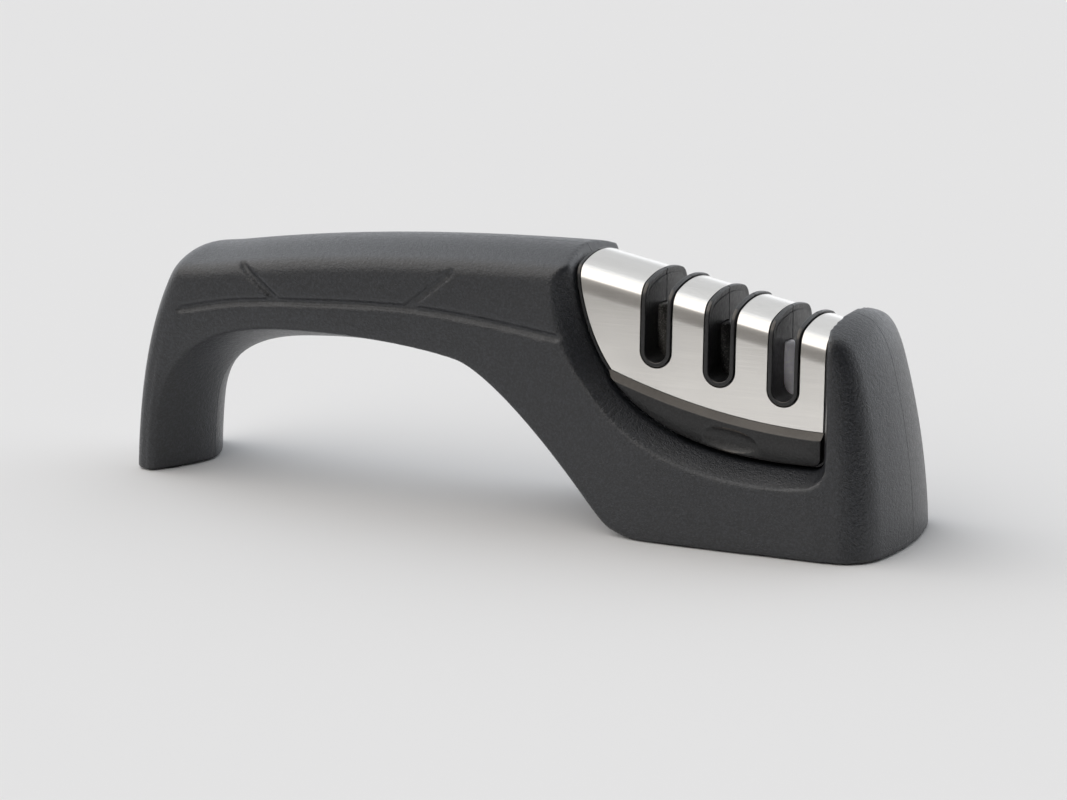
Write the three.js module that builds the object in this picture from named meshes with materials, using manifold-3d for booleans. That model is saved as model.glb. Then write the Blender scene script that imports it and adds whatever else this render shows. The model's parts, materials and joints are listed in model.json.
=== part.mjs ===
// Pull-through knife sharpener: an arched clamshell handle with a lift-out cartridge of three slots.
// Millimetres, +Z up, +X towards the nose, -Y the near side. The origin lies under the middle, on the table.

import * as THREE from 'three';
import { mergeVertices } from 'three/addons/utils/BufferGeometryUtils.js';
import Module from 'manifold-3d';

const wasm = await Module();
wasm.setup();

// Housing, side view
const overallLength = 204.6;
const padProud = 0.3;
const footThickness = 15;
const rearLean = 9;
const shoulderHeight = 50;
const shoulderRun = 24.2;
const handleRearHeight = 58.2;
const handleFrontHeight = 65.6;
const crestRun = 43;
const archHeight = 38.1;
const archRearRun = 30.5;
const archFrontRun = 30.3;
const baseRearInset = 11.4;
const baseHeelRun = 7;
const sunkDepth = 12;
const sunkRun = 25;
const sunkNoseInset = 18;
const sunkStep = 3;
const nosePostDepth = 16.9;
const noseHeight = 54.6;
const noseBrowHeight = 44;
const noseBrowInset = 6.2;

// Housing, plan and walls
const handleHalfWidth = 17.4;
const baseHalfWidth = 26;
const noseTaper = 1;
const flareStart = -19;
const flareEnd = 49;
const sideBelly = 0.3;
const housingWall = 2.4;
const baseWall = 4;
const ribThickness = 1.6;
const handleRibCount = 2;
const baseRibCount = 2;

// Saddle that takes the cartridge
const saddleLength = 65.9;
const saddleFloor = 19.4;
const saddleCorner = 3;
const saddleSteepRun = 1.8;
const saddleSteepRise = 20.6;
const saddleToeRun = 15;
const saddleToeRise = 0.6;
const saddleFloorRun = 10.5;
const flareWidth = 3.4;
const flareNoseWidth = 0.8;

// Cartridge
const seatGap = 0.5;
const skirtGap = 1;
const fitGap = 0.3;
const coverFrontHeight = 51.7;
const coverPitch = 10.9;
const coverHalfWidthTop = 12.6;
const coverHalfWidthBase = 13.8;
const coverBend = 4.2;
const coverCrown = 16;
const sheetThickness = 0.8;
const coreEdge = 0.6;
const skirtHalfWidth = 15.8;
const ledgeHeight = 26.8;
const ledgeRise = 9.6;
const ledgeDrop = 1.4;
const dimpleLength = 13.5;
const dimpleHeight = 5.4;
const dimpleDepth = 1.4;
const tongueHalfThickness = 4;
const tongueLength = 34;
const tongueDepth = 6;
const tongueOffset = 4;

// Slots and rods
const slotCount = 3;
const slotPitch = 16.2;
const slotNoseInset = 11.6;
const slotWidth = 5.5;
const slotDepth = 19.3;
const rimWall = 1;
const rimProud = 0.4;
const rodDiameter = 5;
const rodLength = 22;
const rodAngle = 14;
const rodChamfer = 0.5;
const rodFootRise = 0.4;
const edgeDepth = 18.7;

// Fasteners
const screwHeadDiameter = 5.6;
const screwHeadHeight = 2.2;
const screwShankDiameter = 2.9;
const screwLength = 16;
const screwSeat = 8;
const bossDiameter = 7.6;
const legScrewInset = 11.7;
const handleScrewInset = 15;
const coreScrewHeadDiameter = 4.2;
const coreScrewHeadHeight = 1.6;
const coreScrewShankDiameter = 2.2;
const coreScrewLength = 14;
const coreScrewSeat = 8.6;

// Pads
const padRecess = 1.2;
const padMargin = 4.5;
const padGroove = 0.6;
const padGrooveCount = 6;

// Facets
const pieceSteps = [4, 6, 5, 6, 2, 3, 5, 4, 1];
const hollowPieceSteps = [0, 4, 3, 3, 1, 2, 3, 2, 1];
const curveSteps = 10;
const arcSteps = 4;
const hollowArcSteps = 2;
const roundSegments = 16;

// Worked-out positions
const rearX = -overallLength / 2;
const noseX = overallLength / 2;
const saddleRight = noseX - nosePostDepth;
const saddleLeft = saddleRight - saddleLength;
const footInnerX = rearX + footThickness;
const baseRearX = saddleLeft + baseRearInset;
const coverSlope = Math.tan(THREE.MathUtils.degToRad(coverPitch));
const crownLean = THREE.MathUtils.degToRad(coverCrown);
const rodTilt = THREE.MathUtils.degToRad(rodAngle);
const rodRadius = rodDiameter / 2;
const wideCut = 3 * baseHalfWidth;
const tallCut = 2 * handleFrontHeight;

const point = (x, z) => new THREE.Vector2(x, z);
const coverTop = (x) => coverFrontHeight + coverSlope * (saddleRight - x);
const slotX = (slot) => saddleRight - slotNoseInset - (slotCount - 1 - slot) * slotPitch;
const slotFloor = (slot) => coverTop(slotX(slot)) - slotDepth;

// Solids: closed geometry in, joined or cut geometry out

function outward(geometry) {
  const position = geometry.getAttribute('position');
  const index = geometry.getIndex().array;
  const [a, b, c] = [new THREE.Vector3(), new THREE.Vector3(), new THREE.Vector3()];
  let volume = 0;
  for (let k = 0; k < index.length; k += 3) {
    a.fromBufferAttribute(position, index[k]);
    b.fromBufferAttribute(position, index[k + 1]);
    c.fromBufferAttribute(position, index[k + 2]);
    volume += a.dot(b.cross(c));
  }
  if (volume < 0) {
    geometry.setIndex(Array.from(index).reverse());
  }
  return geometry;
}

function solid(geometry) {
  const bare = geometry.clone();
  bare.deleteAttribute('normal');
  bare.deleteAttribute('uv');
  const merged = outward(mergeVertices(bare, 1e-5));
  return new wasm.Manifold(new wasm.Mesh({
    numProp: 3,
    vertProperties: new Float32Array(merged.getAttribute('position').array),
    triVerts: new Uint32Array(merged.getIndex().array),
  }));
}

function toGeometry(manifold) {
  const mesh = manifold.getMesh();
  const geometry = new THREE.BufferGeometry();
  geometry.setAttribute('position', new THREE.BufferAttribute(mesh.vertProperties, 3));
  geometry.setIndex(new THREE.BufferAttribute(mesh.triVerts, 1));
  geometry.computeVertexNormals();
  return geometry;
}

const joined = (first, ...others) => others.reduce((sum, next) => sum.add(next), first);
const cut = (first, ...others) => others.reduce((rest, next) => rest.subtract(next), first);

function capTriangles(ring, flatten) {
  const contour = ring.map(flatten);
  const turn = Math.sign(THREE.ShapeUtils.area(contour));
  return THREE.ShapeUtils.triangulateShape(contour, []).map(([i, j, k]) => {
    const area = THREE.ShapeUtils.area([contour[i], contour[j], contour[k]]);
    return Math.sign(area) === turn ? [i, j, k] : [i, k, j];
  });
}

// Skins a stack of closed rings that all have the same number of points.
function loft(rings, flatten) {
  const count = rings[0].length;
  const last = (rings.length - 1) * count;
  const index = [];
  for (let start = 0; start < last; start += count) {
    for (let k = 0; k < count; k += 1) {
      const here = start + k;
      const next = start + ((k + 1) % count);
      index.push(here, next, here + count, next, next + count, here + count);
    }
  }
  for (const [i, j, k] of capTriangles(rings[0], flatten)) {
    index.push(i, k, j);
  }
  for (const [i, j, k] of capTriangles(rings.at(-1), flatten)) {
    index.push(last + i, last + j, last + k);
  }
  const geometry = new THREE.BufferGeometry();
  const corners = rings.flat().flatMap((corner) => corner.toArray());
  geometry.setAttribute('position', new THREE.Float32BufferAttribute(corners, 3));
  geometry.setIndex(index);
  return solid(geometry);
}

function block(low, high) {
  const size = new THREE.Vector3().subVectors(high, low);
  const middle = new THREE.Vector3().addVectors(low, high).multiplyScalar(0.5);
  const geometry = new THREE.BoxGeometry(size.x, size.y, size.z);
  geometry.translate(middle.x, middle.y, middle.z);
  return solid(geometry);
}

// Extrudes an outline of the side view across the width.
function sidePrism(outline, lowY, highY) {
  const geometry = new THREE.ExtrudeGeometry(new THREE.Shape(outline), {
    depth: highY - lowY, bevelEnabled: false, curveSegments: arcSteps,
  });
  geometry.rotateX(Math.PI / 2);
  geometry.translate(0, highY, 0);
  return solid(geometry);
}

function crossPin(x, z, diameter, lowY, highY) {
  const geometry = new THREE.CylinderGeometry(diameter / 2, diameter / 2, highY - lowY, roundSegments);
  geometry.translate(x, (lowY + highY) / 2, z);
  return solid(geometry);
}

const sideBand = (lowY, highY) => block(
  new THREE.Vector3(-overallLength, lowY, -tallCut),
  new THREE.Vector3(overallLength, highY, tallCut),
);
const nearSpace = sideBand(-wideCut, 0);
const farSpace = sideBand(0, wideCut);

// Housing: a loft between two rails of the side view, the crest and the underside

const bend = (from, via, to) => new THREE.QuadraticBezierCurve(from, via, to);
const run = (from, to) => new THREE.LineCurve(from, to);
const sweep = (from, leaving, arriving, to) => new THREE.CubicBezierCurve(from, leaving, arriving, to);

const shoulder = point(rearX + rearLean, shoulderHeight);
const handleRear = point(rearX + shoulderRun, handleRearHeight);
const handleFront = point(saddleLeft, handleFrontHeight);
const noseTop = point(saddleRight + 1, noseHeight);
const noseBrow = point(noseX - noseBrowInset, noseBrowHeight);
const noseToe = point(noseX, 4);
const crestBreak = (share) => handleFront.clone().lerp(noseTop, share);

const crestRail = [
  bend(point(rearX - 0.3, -6), point(rearX - 0.2, shoulderHeight / 2 + 4.7), shoulder),
  sweep(
    shoulder, point(shoulder.x + 3.8, shoulderHeight + 8.4),
    point(handleRear.x - 11.3, handleRearHeight - 1.9), handleRear,
  ),
  bend(handleRear, point(handleRear.x + crestRun, handleFrontHeight - 0.25), handleFront),
  run(handleFront, crestBreak(0.45)),
  run(crestBreak(0.45), crestBreak(0.55)),
  run(crestBreak(0.55), noseTop),
  bend(noseTop, point(noseBrow.x - 2.9, noseHeight + 0.3), noseBrow),
  bend(noseBrow, point(noseX - 0.9, noseBrowHeight / 2 + 2), noseToe),
  run(noseToe, point(noseX + 0.1, -sunkDepth)),
];

const legInner = point(footInnerX + 1.4, 17);
const archRear = point(footInnerX + archRearRun, archHeight - 2.2);
const archFront = point(saddleLeft - archFrontRun, archHeight - 1.7);
const baseHeel = point(baseRearX, 3.4);
const baseFlat = point(baseRearX + baseHeelRun, padProud);

// The underside passes below the table here and is cut off flat
const sunkPlaces = [
  point(baseFlat.x + sunkRun, 2 - sunkDepth),
  point(noseX - sunkNoseInset - 2 * sunkStep, -sunkDepth),
  point(noseX - sunkNoseInset - sunkStep, -sunkDepth),
  point(noseX - sunkNoseInset, -sunkDepth),
];

const soleRail = [
  bend(point(footInnerX, -6), point(footInnerX, 8), legInner),
  bend(legInner, point(legInner.x + 2.6, archHeight - 4.4), archRear),
  bend(archRear, point((archRear.x + archFront.x) / 2 + 3.6, archHeight + 0.4), archFront),
  bend(archFront, point(archFront.x + 12.9, archFront.y - 3.3), baseHeel),
  bend(baseHeel, point(baseHeel.x + 3, 0.5), baseFlat),
  run(baseFlat, sunkPlaces[0]),
  run(sunkPlaces[0], sunkPlaces[1]),
  run(sunkPlaces[1], sunkPlaces[2]),
  run(sunkPlaces[2], sunkPlaces[3]),
];

// Edge radius and crown of the crest, edge radius and bulge of the underside, at the ends of the rail pieces
const crestRound = [4, 4.7, 5.1, 5, 5, 5, 5, 7, 8, 8];
const crestCrown = [0.8, 1.9, 2.6, 2.6, 2, 2, 2.2, 2.1, 2.1, 2.1];
const soleRound = [2, 2, 1.6, 1.4, 1.5, 1.5, 1.5, 1.5, 1.5, 1.5];
const soleBulge = [7.8, 7.4, 4.4, 1, 0.3, 0.3, 0.3, 0.3, 0.3, 0.3];
const crestPower = 2;
const solePower = 1.6;

// Half-width of the flat side at a place of the side view
function sideHalfWidth(x, z) {
  const along = THREE.MathUtils.smoothstep(x, flareStart, flareEnd);
  const down = THREE.MathUtils.clamp(1 - z / handleFrontHeight, 0, 1);
  const taper = noseTaper * THREE.MathUtils.smoothstep(x, flareEnd, noseX);
  return handleHalfWidth + (baseHalfWidth - handleHalfWidth) * along * down - taper;
}

function railFrame(rail, piece, share, side, inset) {
  const spot = rail[piece].getPoint(share);
  const tangent = rail[piece].getTangent(share);
  const normal = point(-tangent.y, tangent.x).multiplyScalar(side);
  return { spot: spot.addScaledVector(normal, -inset), normal };
}

const skin = { inset: 0, floor: padProud, middleY: 0, steps: pieceSteps, arc: arcSteps };
const hollow = {
  inset: housingWall, floor: padProud + baseWall, middleY: -1, steps: hollowPieceSteps, arc: hollowArcSteps,
};

// One edge of a section, from the mid-plane out to the flat side: a crowned run, then a round corner
function sectionEdge({ spot, normal }, crown, radius, power, layer) {
  const corner = spot.clone().addScaledVector(normal, -crown - radius);
  const width = sideHalfWidth(corner.x, corner.y) - layer.inset;
  const lean = Math.atan2(power * crown, width - radius);
  const runOut = width - radius * (1 - Math.sin(lean));
  const places = [];
  for (let step = 0; step < layer.arc; step += 1) {
    const share = step / layer.arc;
    places.push({ depth: crown * share ** power, y: runOut * share });
  }
  for (let step = 0; step <= layer.arc; step += 1) {
    const turn = THREE.MathUtils.lerp(lean, Math.PI / 2, step / layer.arc);
    const depth = crown + radius * (Math.cos(lean) - Math.cos(turn));
    places.push({ depth, y: width - radius * (1 - Math.sin(turn)) });
  }
  return places.map(({ depth, y }) => {
    const place = spot.clone().addScaledVector(normal, -depth);
    return new THREE.Vector3(place.x, y, place.y);
  });
}

function housingSection(piece, share, layer, side) {
  const { inset, middleY, arc } = layer;
  const blendOf = (list) => THREE.MathUtils.lerp(list[piece], list[piece + 1], share);
  const thinner = (radius) => Math.max(radius - inset, 0.6);
  const crestFrame = railFrame(crestRail, piece, share, 1, inset);
  const soleFrame = railFrame(soleRail, piece, share, -1, inset);
  const crest = sectionEdge(crestFrame, blendOf(crestCrown), thinner(blendOf(crestRound)), crestPower, layer);
  const sole = sectionEdge(soleFrame, blendOf(soleBulge), thinner(blendOf(soleRound)), solePower, layer);
  const flat = [];
  for (let step = 1; step < arc; step += 1) {
    const down = step / arc;
    const place = crest.at(-1).clone().lerp(sole.at(-1), down);
    const belly = sideBelly * 4 * down * (1 - down);
    flat.push(place.setY(sideHalfWidth(place.x, place.z) + belly - inset));
  }
  const ring = [...crest, ...flat, ...sole.reverse()];
  ring[0].y = middleY;
  ring.at(-1).y = middleY;
  return ring.map((place) => place.setY(place.y * side));
}

// Body of one half, either the outer skin or the hollow inside it
function housingBody(side, layer) {
  const rings = [];
  layer.steps.forEach((steps, piece) => {
    for (let step = 0; step < steps; step += 1) {
      rings.push(housingSection(piece, step / steps, layer, side));
    }
  });
  rings.push(housingSection(layer.steps.length - 1, 1, layer, side));
  const flatten = (corner) => point(corner.y, corner.z + corner.x);
  const aboveFloor = block(
    new THREE.Vector3(-overallLength, -wideCut, layer.floor),
    new THREE.Vector3(overallLength, wideCut, tallCut),
  );
  return loft(rings, flatten).intersect(aboveFloor);
}

// Saddle outline from the top of the handle, down the curved side, along the floor and up the nose post
function saddleOutline(inset) {
  const path = new THREE.Path();
  path.moveTo(saddleLeft, tallCut);
  path.lineTo(saddleLeft, handleFrontHeight + 0.4);
  path.bezierCurveTo(
    saddleLeft + saddleSteepRun, saddleFloor + saddleSteepRise,
    saddleLeft + saddleToeRun, saddleFloor + saddleToeRise,
    saddleRight - saddleFloorRun, saddleFloor,
  );
  path.lineTo(saddleRight - saddleCorner, saddleFloor);
  path.absarc(saddleRight - saddleCorner, saddleFloor + saddleCorner, saddleCorner, -Math.PI / 2, 0, false);
  path.lineTo(saddleRight, tallCut);
  const places = path.getPoints(curveSteps);
  const corners = places.filter((place, k) => k === 0 || place.distanceTo(places[k - 1]) > 1e-6);
  const heading = (k) => corners[k].clone().sub(corners[k - 1]).normalize();
  return corners.map((corner, k) => {
    const before = heading(Math.max(k, 1));
    const after = heading(Math.min(k + 1, corners.length - 1));
    const normal = point(-before.y - after.y, before.x + after.x).normalize();
    const miter = inset / Math.max(normal.dot(point(-after.y, after.x)), 0.5);
    return corner.clone().addScaledVector(normal, miter);
  });
}

// Tool that opens the saddle in one half and flares its mouth out to the side of the housing
function saddleTool(side) {
  const inner = saddleOutline(0);
  const noseShare = ({ x }) => (
    THREE.MathUtils.smoothstep(x, saddleRight - saddleFloorRun, saddleRight - saddleCorner / 2)
  );
  const wide = saddleOutline(-flareWidth);
  const slim = saddleOutline(-flareNoseWidth);
  const outer = inner.map((place, k) => wide[k].clone().lerp(slim[k], noseShare(place)));
  const lipY = (place) => THREE.MathUtils.lerp(
    skirtHalfWidth, coverHalfWidthBase,
    THREE.MathUtils.smoothstep(place.y, ledgeHeight + 4, ledgeHeight + 16),
  );
  const ring = (outline, reach) => outline.map((place, k) => (
    new THREE.Vector3(place.x, side * reach(place, k), place.y)
  ));
  const flatten = (corner) => point(corner.x, corner.z);
  const rings = [
    ring(inner, () => -1),
    ring(inner, (place) => lipY(place)),
    ring(outer, (place, k) => Math.max(sideHalfWidth(place.x, place.y), lipY(inner[k]) + 1)),
    ring(outer, () => wideCut),
  ];
  return loft(rings, flatten);
}

const tongueMiddle = slotX(1) + tongueOffset;
const tongueFloor = saddleFloor - tongueDepth;
const tongueRear = tongueMiddle - tongueLength / 2;

const screwPlaces = {
  leg: point(rearX + legScrewInset, archHeight - 2),
  handle_rear: point(handleRear.x + handleScrewInset, (archHeight + handleRearHeight) / 2 + 1.5),
  handle_front: point(saddleLeft - flareWidth - handleScrewInset, (archHeight + handleFrontHeight) / 2 - 1),
  base: point(tongueRear - seatGap - housingWall - bossDiameter / 2, tongueFloor),
  nose: point((saddleRight + noseX) / 2, saddleFloor),
};

// Stiffening ribs at even steps between two screws
const ribsBetween = (from, to, count) => Array.from({ length: count }, (_, k) => (
  THREE.MathUtils.lerp(from.x, to.x, (k + 1) / (count + 1))
));
const ribPlaces = [
  ...ribsBetween(screwPlaces.handle_rear, screwPlaces.handle_front, handleRibCount),
  ...ribsBetween(screwPlaces.base, screwPlaces.nose, baseRibCount),
];

function tongueBlock(gap, top) {
  return block(
    new THREE.Vector3(tongueMiddle - tongueLength / 2 - gap, -tongueHalfThickness - gap, tongueFloor - gap),
    new THREE.Vector3(tongueMiddle + tongueLength / 2 + gap, tongueHalfThickness + gap, top),
  );
}

// Pad outline in plan: a rounded nose-side end, drawn in from the edge of the underside
function padOutline(kind, grow) {
  const shape = new THREE.Shape();
  const [left, right, half, radius] = kind === 'base'
    ? [baseFlat.x + 1, noseX - padMargin, baseHalfWidth - padMargin - 2, 9]
    : [rearX + 3, footInnerX - padMargin, handleHalfWidth - padMargin, 3];
  const low = point(left - grow, -half - grow);
  const high = point(right + grow, half + grow);
  const round = radius + grow;
  shape.absarc(high.x - round, low.y + round, round, -Math.PI / 2, 0, false);
  shape.absarc(high.x - round, high.y - round, round, 0, Math.PI / 2, false);
  shape.absarc(low.x + round, high.y - round, round, Math.PI / 2, Math.PI, false);
  shape.absarc(low.x + round, low.y + round, round, Math.PI, 1.5 * Math.PI, false);
  return shape;
}

function padBody(kind, grow, low, high) {
  const geometry = new THREE.ExtrudeGeometry(padOutline(kind, grow), {
    depth: high - low, bevelEnabled: false, curveSegments: arcSteps,
  });
  geometry.translate(0, 0, low);
  return solid(geometry);
}

const padRecesses = ['base', 'foot'].map((kind) => padBody(kind, fitGap, -1, padProud + padRecess));

// Hollow of one half: the drawn-in body less the saddle walls, the tongue well, the screw bosses and the ribs
function housingHollow(side) {
  const saddleWall = sidePrism(saddleOutline(-housingWall), -wideCut, wideCut);
  const wellWall = tongueBlock(seatGap + housingWall, saddleFloor);
  const bosses = Object.values(screwPlaces).map(({ x, y }) => (
    crossPin(x, y, bossDiameter, -baseHalfWidth, baseHalfWidth)
  ));
  const ribs = ribPlaces.map((x) => block(
    new THREE.Vector3(x, -wideCut, 0),
    new THREE.Vector3(x + ribThickness, wideCut, tallCut),
  ));
  return cut(housingBody(side, hollow), saddleWall, wellWall, ...bosses, ...ribs);
}

function housingShell(side) {
  const shell = cut(housingBody(side, skin), housingHollow(side), saddleTool(side));
  return cut(shell, tongueBlock(seatGap, saddleFloor + 12), ...padRecesses);
}

const pilotDepth = screwLength - screwSeat + 1.5;

function nearHousing() {
  const pilots = Object.values(screwPlaces).map(({ x, y }) => (
    crossPin(x, y, screwShankDiameter + 2 * fitGap, -pilotDepth, 1)
  ));
  return cut(housingShell(-1), ...pilots);
}

function farHousing() {
  const wells = Object.values(screwPlaces).flatMap(({ x, y }) => [
    crossPin(x, y, screwHeadDiameter + 2 * fitGap, screwSeat, wideCut),
    crossPin(x, y, screwShankDiameter + 2 * fitGap, -1, screwSeat + 1),
  ]);
  return cut(housingShell(1), ...wells);
}

function basePad() {
  const pad = padBody('base', 0, 0, padProud + padRecess);
  const left = baseFlat.x + 1;
  const pitch = (noseX - padMargin - left) / (padGrooveCount + 1);
  const grooves = Array.from({ length: padGrooveCount }, (_, k) => block(
    new THREE.Vector3(left + (k + 1) * pitch - padGroove, -wideCut, -1),
    new THREE.Vector3(left + (k + 1) * pitch + padGroove, wideCut, padGroove),
  ));
  return cut(pad, ...grooves);
}

// Screw along the width: head outermost, shank towards the near side
function crossScrew(place, seat, head, headHeight, shank, length) {
  const profile = [
    point(0, headHeight),
    point(head * 0.3, headHeight),
    point(head / 2, headHeight * 0.55),
    point(head / 2, 0),
    point(shank / 2, 0),
    point(shank / 2, shank - length),
    point(0, -length),
  ];
  const geometry = new THREE.LatheGeometry(profile, roundSegments / 2);
  geometry.translate(place.x, seat, place.y);
  return solid(geometry);
}

// Cartridge

const bendY = coverHalfWidthTop - coverBend;
const bendDrop = coverBend * Math.cos(crownLean)
  + (bendY + coverBend * Math.sin(crownLean)) * Math.tan(crownLean) / 2;

// Cross-section of the steel cover grown by a margin: leaning sides, two bends and a crowned top
function coverSection(grow) {
  const low = ledgeHeight - coverTop(saddleLeft);
  const halfBase = coverHalfWidthBase + grow;
  const radius = coverBend + grow;
  const farTurn = Math.PI / 2 + crownLean;
  const farEnd = point(radius * Math.cos(farTurn) - bendY, radius * Math.sin(farTurn) - bendDrop);
  const section = new THREE.Shape();
  section.moveTo(-halfBase, low);
  section.lineTo(halfBase, low);
  section.absarc(bendY, -bendDrop, radius, 0, Math.PI - farTurn, false);
  section.quadraticCurveTo(0, 2 * grow - farEnd.y, farEnd.x, farEnd.y);
  section.absarc(-bendY, -bendDrop, radius, farTurn, Math.PI, false);
  section.closePath();
  return section;
}

// The cover's section drawn along the cartridge, with its top falling towards the nose
function coverBody(grow) {
  const geometry = new THREE.ExtrudeGeometry(coverSection(grow), {
    depth: 2 * saddleLength, bevelEnabled: false, curveSegments: arcSteps,
  });
  const placed = new THREE.Matrix4().set(
    0, 0, 1, saddleLeft - saddleLength / 2,
    1, 0, 0, 0,
    0, 1, -coverSlope, coverTop(saddleLeft - saddleLength / 2),
    0, 0, 0, 1,
  );
  geometry.applyMatrix4(placed);
  return solid(geometry);
}

// Upright slot with a round floor, open at the top
function slotTool(slot, width) {
  const middle = slotX(slot);
  const radius = width / 2;
  const floor = slotFloor(slot) - (width - slotWidth) / 2;
  const shape = new THREE.Shape();
  shape.moveTo(middle + radius, tallCut);
  shape.lineTo(middle - radius, tallCut);
  shape.absarc(middle, floor + radius, radius, Math.PI, 2 * Math.PI, false);
  shape.closePath();
  return sidePrism(shape.getPoints(arcSteps + 1).slice(0, -1), -wideCut, wideCut);
}

const rimWidth = slotWidth + 2 * rimWall;
const slotNumbers = Array.from({ length: slotCount }, (_, slot) => slot);

// Everything above the curved ledge on one side, with the ledge falling outwards
function ledgeTool(side, raise) {
  const ledgeRun = saddleRight - baseRearX;
  const curve = bend(
    point(baseRearX - ledgeRun / 4, ledgeHeight + ledgeRise * 1.5625),
    point(saddleRight - ledgeRun * 0.625, ledgeHeight),
    point(saddleRight, ledgeHeight),
  );
  const edge = [...curve.getPoints(curveSteps), point(saddleRight + 10, ledgeHeight)];
  const outline = [...edge, point(saddleRight + 10, tallCut), point(baseRearX - ledgeRun / 4, tallCut)];
  const fall = ledgeDrop / (skirtHalfWidth - coverHalfWidthBase);
  const lift = (y) => raise + fall * (skirtHalfWidth - Math.max(y, coverHalfWidthBase));
  const ring = (y) => outline.map((place) => new THREE.Vector3(place.x, side * y, place.y + lift(y)));
  const flatten = (corner) => point(corner.x, corner.z);
  return loft([ring(-1), ring(coverHalfWidthBase), ring(2 * skirtHalfWidth)], flatten);
}

const overLedge = (raise) => ledgeTool(-1, raise).add(ledgeTool(1, raise));

function dimpleTool(side) {
  const middle = slotX(1) + 3;
  const geometry = new THREE.SphereGeometry(1, roundSegments, roundSegments / 2);
  geometry.scale(dimpleLength / 2, dimpleDepth, dimpleHeight / 2);
  geometry.rotateY(THREE.MathUtils.degToRad(8));
  geometry.translate(middle, side * skirtHalfWidth, (saddleFloor + ledgeHeight) / 2 + 1.4);
  return solid(geometry);
}

// Rod axis: near rods lean back at the top, far rods lean forward, and they cross under the knife's edge
function rodSolid(slot, side, grow) {
  const radius = rodRadius + grow;
  const half = rodLength / 2 + grow;
  const profile = [
    point(0, -half), point(radius - rodChamfer, -half), point(radius, rodChamfer - half),
    point(radius, half - rodChamfer), point(radius - rodChamfer, half), point(0, half),
  ];
  const geometry = new THREE.LatheGeometry(profile, roundSegments);
  geometry.rotateX(Math.PI / 2);
  const crossing = coverTop(slotX(slot)) - edgeDepth - rodRadius / Math.sin(rodTilt);
  const raise = rodLength / 2 + rodFootRise;
  geometry.translate(0, 0, raise);
  geometry.rotateY(side * rodTilt);
  geometry.translate(slotX(slot), side * (rodRadius + fitGap / 2), crossing);
  return solid(geometry);
}

const landX = (slot) => slotX(slot) - slotPitch / 2;
const coreScrewPlaces = [
  point(THREE.MathUtils.lerp(saddleLeft, slotX(0), 0.56), slotFloor(0) + 4),
  point(landX(1) - 0.4, slotFloor(1) - 0.4),
  point(landX(2) - 0.4, slotFloor(2) - 0.4),
  point((slotX(slotCount - 1) + slotWidth / 2 + saddleRight) / 2, slotFloor(slotCount - 1) - 3),
];

function coreBody() {
  const outline = sidePrism(saddleOutline(seatGap), -skirtHalfWidth, skirtHalfWidth);
  const frame = cut(outline, sidePrism(saddleOutline(seatGap + coreEdge), -wideCut, wideCut));
  const lowPart = block(
    new THREE.Vector3(-overallLength, -wideCut, 0),
    new THREE.Vector3(overallLength, wideCut, ledgeHeight + ledgeRise + ledgeDrop),
  );
  const skirtOutline = sidePrism(saddleOutline(skirtGap), -skirtHalfWidth, skirtHalfWidth);
  const skirt = cut(skirtOutline.intersect(lowPart), overLedge(0));
  const cover = coverBody(0);
  const inside = coverBody(-sheetThickness - fitGap).intersect(outline);
  const edge = cover.intersect(frame);
  const rims = slotNumbers.map((slot) => coverBody(rimProud).intersect(slotTool(slot, rimWidth)));
  const body = joined(skirt, inside, edge, ...rims, tongueBlock(0, saddleFloor + 12));
  return cut(body, ...slotNumbers.map((slot) => slotTool(slot, slotWidth)), ...[-1, 1].map(dimpleTool));
}

function coreHalf(body, side) {
  const half = body.intersect(side < 0 ? nearSpace : farSpace);
  const pockets = slotNumbers.map((slot) => rodSolid(slot, side, fitGap));
  const shankHole = coreScrewShankDiameter + 2 * fitGap;
  const headHole = coreScrewHeadDiameter + 2 * fitGap;
  const holes = coreScrewPlaces.flatMap(({ x, y }) => (side < 0
    ? [crossPin(x, y, shankHole, coreScrewSeat - coreScrewLength - 1, 1)]
    : [crossPin(x, y, shankHole, -1, coreScrewSeat + 1), crossPin(x, y, headHole, coreScrewSeat, wideCut)]));
  return cut(half, ...pockets, ...holes);
}

function steelCover() {
  const sheet = cut(coverBody(0), coverBody(-sheetThickness));
  const trimmed = sheet.intersect(sidePrism(saddleOutline(seatGap + coreEdge + fitGap), -wideCut, wideCut));
  const openings = slotNumbers.map((slot) => slotTool(slot, rimWidth + 2 * fitGap));
  return cut(trimmed.intersect(overLedge(fitGap)), ...openings);
}

// Colours and scene graph

const charcoal = new THREE.MeshStandardMaterial({ color: 0x3c3d40, roughness: 0.62, metalness: 0 });
const softBlack = new THREE.MeshStandardMaterial({ color: 0x1c1c1e, roughness: 0.5, metalness: 0 });
const padRubber = new THREE.MeshStandardMaterial({ color: 0x2b2b2c, roughness: 0.9, metalness: 0 });
const brushedSteel = new THREE.MeshStandardMaterial({ color: 0xc9c6c0, roughness: 0.32, metalness: 1 });
const zincScrew = new THREE.MeshStandardMaterial({ color: 0x9a9a98, roughness: 0.4, metalness: 1 });
const rodFinishes = {
  coarse: new THREE.MeshStandardMaterial({ color: 0x5a5854, roughness: 0.75, metalness: 0.4 }),
  fine: new THREE.MeshStandardMaterial({ color: 0x2c2b2a, roughness: 0.6, metalness: 0.4 }),
  ceramic: new THREE.MeshStandardMaterial({ color: 0xd9d6da, roughness: 0.4, metalness: 0 }),
};

function addPiece(group, name, manifold, material) {
  const mesh = new THREE.Mesh(toGeometry(manifold), material);
  mesh.name = name;
  group.add(mesh);
}

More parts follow.
